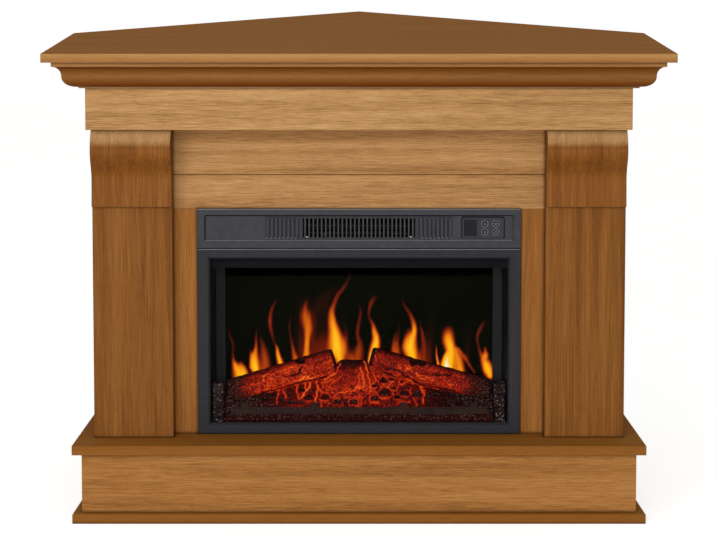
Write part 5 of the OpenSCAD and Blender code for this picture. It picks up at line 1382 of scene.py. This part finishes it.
def coalMesh(name):
    points, sizes = [], []
    for x, seen, radius in coalPlaces:
        depth = onBed(x, seen - 0.25 * radius)
        points.append((x, max(depth, bed["top"][0] + radius), bedTopAt(x, depth) + 0.2 * radius))
        sizes.append(radius)
    start = pointMesh(name + "Places", points)
    setMarks(start, lump=sizes)
    tree, size = startTree(name, coalSizes)
    lump = addNode(tree, "GeometryNodeMeshIcoSphere", {"Radius": size["Radius"], "Subdivisions": 5})
    width = addNode(tree, "GeometryNodeInputNamedAttribute", {"Name": "lump"}, data_type="FLOAT")
    stretched = addNode(tree, "ShaderNodeVectorMath", {0: coalStretch, "Scale": width}, operation="SCALE")
    turned = addNode(tree, "FunctionNodeRandomValue", {
        "Min": (-0.3, -0.3, -0.5), "Max": (0.3, 0.3, 0.5), "Seed": size["Seed"]},
        data_type="FLOAT_VECTOR")
    lumps = addNode(tree, "GeometryNodeInstanceOnPoints", {
        "Points": size["Geometry"], "Instance": lump, "Rotation": turned, "Scale": stretched})
    place = addNode(tree, "GeometryNodeInputPosition")
    centred = addNode(tree, "GeometryNodeStoreNamedAttribute", {
        "Geometry": lumps, "Name": "lumpCentre", "Value": place},
        data_type="FLOAT_VECTOR", domain="INSTANCE")
    solid = addNode(tree, "GeometryNodeRealizeInstances", {"Geometry": centred})
    # Broken faces: a coarse and a fine grit push the surface in and out
    grit = addNode(tree, "ShaderNodeTexNoise", {
        "Vector": place, "Scale": 1 / coalGrit, "Detail": 4.0, "Roughness": 0.6})
    centreGrit = addNode(tree, "ShaderNodeMath", {0: grit, 1: 0.54}, operation="SUBTRACT")
    reachOut = addNode(tree, "ShaderNodeMath", {
        0: centreGrit, 1: size["Roughness"]}, operation="MULTIPLY")
    outward = addNode(tree, "GeometryNodeInputNormal")
    offset = addNode(tree, "ShaderNodeVectorMath", {0: outward, "Scale": reachOut}, operation="SCALE")
    broken = addNode(tree, "GeometryNodeSetPosition", {"Geometry": solid, "Offset": offset})
    mesh = grown(name, start, tree, [broken], coalSizes, coalResin)
    where = np.array([vertex.co for vertex in mesh.vertices]) / mm
    centres = np.array([entry.vector for entry in mesh.attributes["lumpCentre"].data]) / mm
    radii = np.array([entry.value for entry in mesh.attributes["lump"].data])
    for spent in ("lumpCentre", "lump"):
        mesh.attributes.remove(mesh.attributes[spent])
    # The light creeps up from below and shows round each lump's foot
    height = (where - centres)[:, 2] / radii
    foot = 1 - np.clip((height + 0.6) / 0.75, 0, 1)
    setMarks(mesh, glow=bedGlow(where[:, 0]) * (0.3 + 1.1 * foot),
             vein=0.7 * foot * lampFade(where[:, 0], -5, 150), dusting=0.35 + 0.65 * np.clip(height, 0, 1))
    mesh.shade_smooth()
    return mesh


newPiece("looseCoals", coalMesh("looseCoals"), coalResin, "ember_bed", replaces=False)
print("Coals laid")


# Studio: pale floor, white surroundings, one broad soft light in front

studio = {"sky": 0.34, "keyWatts": 270.0, "keySize": (4.5, 3.2), "keyPlace": (-0.9, -6.6, 1.5),
          "aim": (0.0, -0.3, 0.55), "floorSize": 16.0, "floorDrop": 0.0004, "floorLift": 0.68}


def seenDirectly(tree):
    # 1 for rays from the camera, from a mirror or through glass, and 0 for those that light the object
    ray = addNode(tree, "ShaderNodeLightPath")
    camera = addNode(tree, "ShaderNodeMath", {
        0: ray.outputs["Is Camera Ray"], 1: ray.outputs["Is Glossy Ray"]}, operation="MAXIMUM")
    return addNode(tree, "ShaderNodeMath", {
        0: camera, 1: ray.outputs["Is Transmission Ray"]}, operation="MAXIMUM")


world = bpy.data.worlds.new("studioSky")
bpy.context.scene.world = world
world.use_nodes = True
tree = world.node_tree
tree.nodes.clear()
lighting = addNode(tree, "ShaderNodeBackground", {"Color": (1, 1, 1, 1), "Strength": studio["sky"]})
shown = addNode(tree, "ShaderNodeBackground", {"Color": (1, 1, 1, 1), "Strength": 1.0})
skyMix = addNode(tree, "ShaderNodeMixShader", {0: seenDirectly(tree), 1: lighting, 2: shown})
addNode(tree, "ShaderNodeOutputWorld", {"Surface": skyMix})

# Matt paper floor; what the camera sees of it is lifted to white, and the shadow stays
floorPaper, tree, shader = newMaterial("floorPaper", {
    "Base Color": linearColor("#f4f3f1"), "Roughness": 0.95, "Specular IOR Level": 0.0,
    "Emission Color": (1, 1, 1, 1)})
lift = addNode(tree, "ShaderNodeMath", {0: seenDirectly(tree), 1: studio["floorLift"]}, operation="MULTIPLY")
feed(shader, {"Emission Strength": lift})
floorMesh = bpy.data.meshes.new("studioFloor")
reach = studio["floorSize"] / 2
floorMesh.from_pydata([(x * reach, y * reach, -studio["floorDrop"])
                       for x, y in ((-1, -1), (1, -1), (1, 1), (-1, 1))], [], [(0, 1, 2, 3)])
floorMesh.materials.append(floorPaper)
addObject("studioFloor", floorMesh)

keyData = bpy.data.lights.new("softKey", "AREA")
keyData.shape, keyData.size, keyData.size_y = "RECTANGLE", *studio["keySize"]
keyData.energy = studio["keyWatts"]
softKey = addObject("softKey", keyData)
softKey.location = studio["keyPlace"]
towards = Vector(studio["aim"]) - Vector(studio["keyPlace"])
softKey.rotation_euler = towards.to_track_quat("-Z", "Y").to_euler()

# Camera at the photograph's place
pictureWidth = 718   # pixels
cameraData = bpy.data.cameras.new("photoCamera")
cameraData.sensor_width = 36.0
cameraData.lens = eye["focal"] * cameraData.sensor_width / pictureWidth
camera = addObject("photoCamera", cameraData)
camera.location = inFrame(0.0, -eye["away"], eye["height"])
camera.rotation_euler = (math.radians(90 - eye["pitch"]), 0.0, 0.0)
bpy.context.scene.camera = camera
bpy.context.scene.view_settings.view_transform = "Standard"

print("Fireplace scene finished")
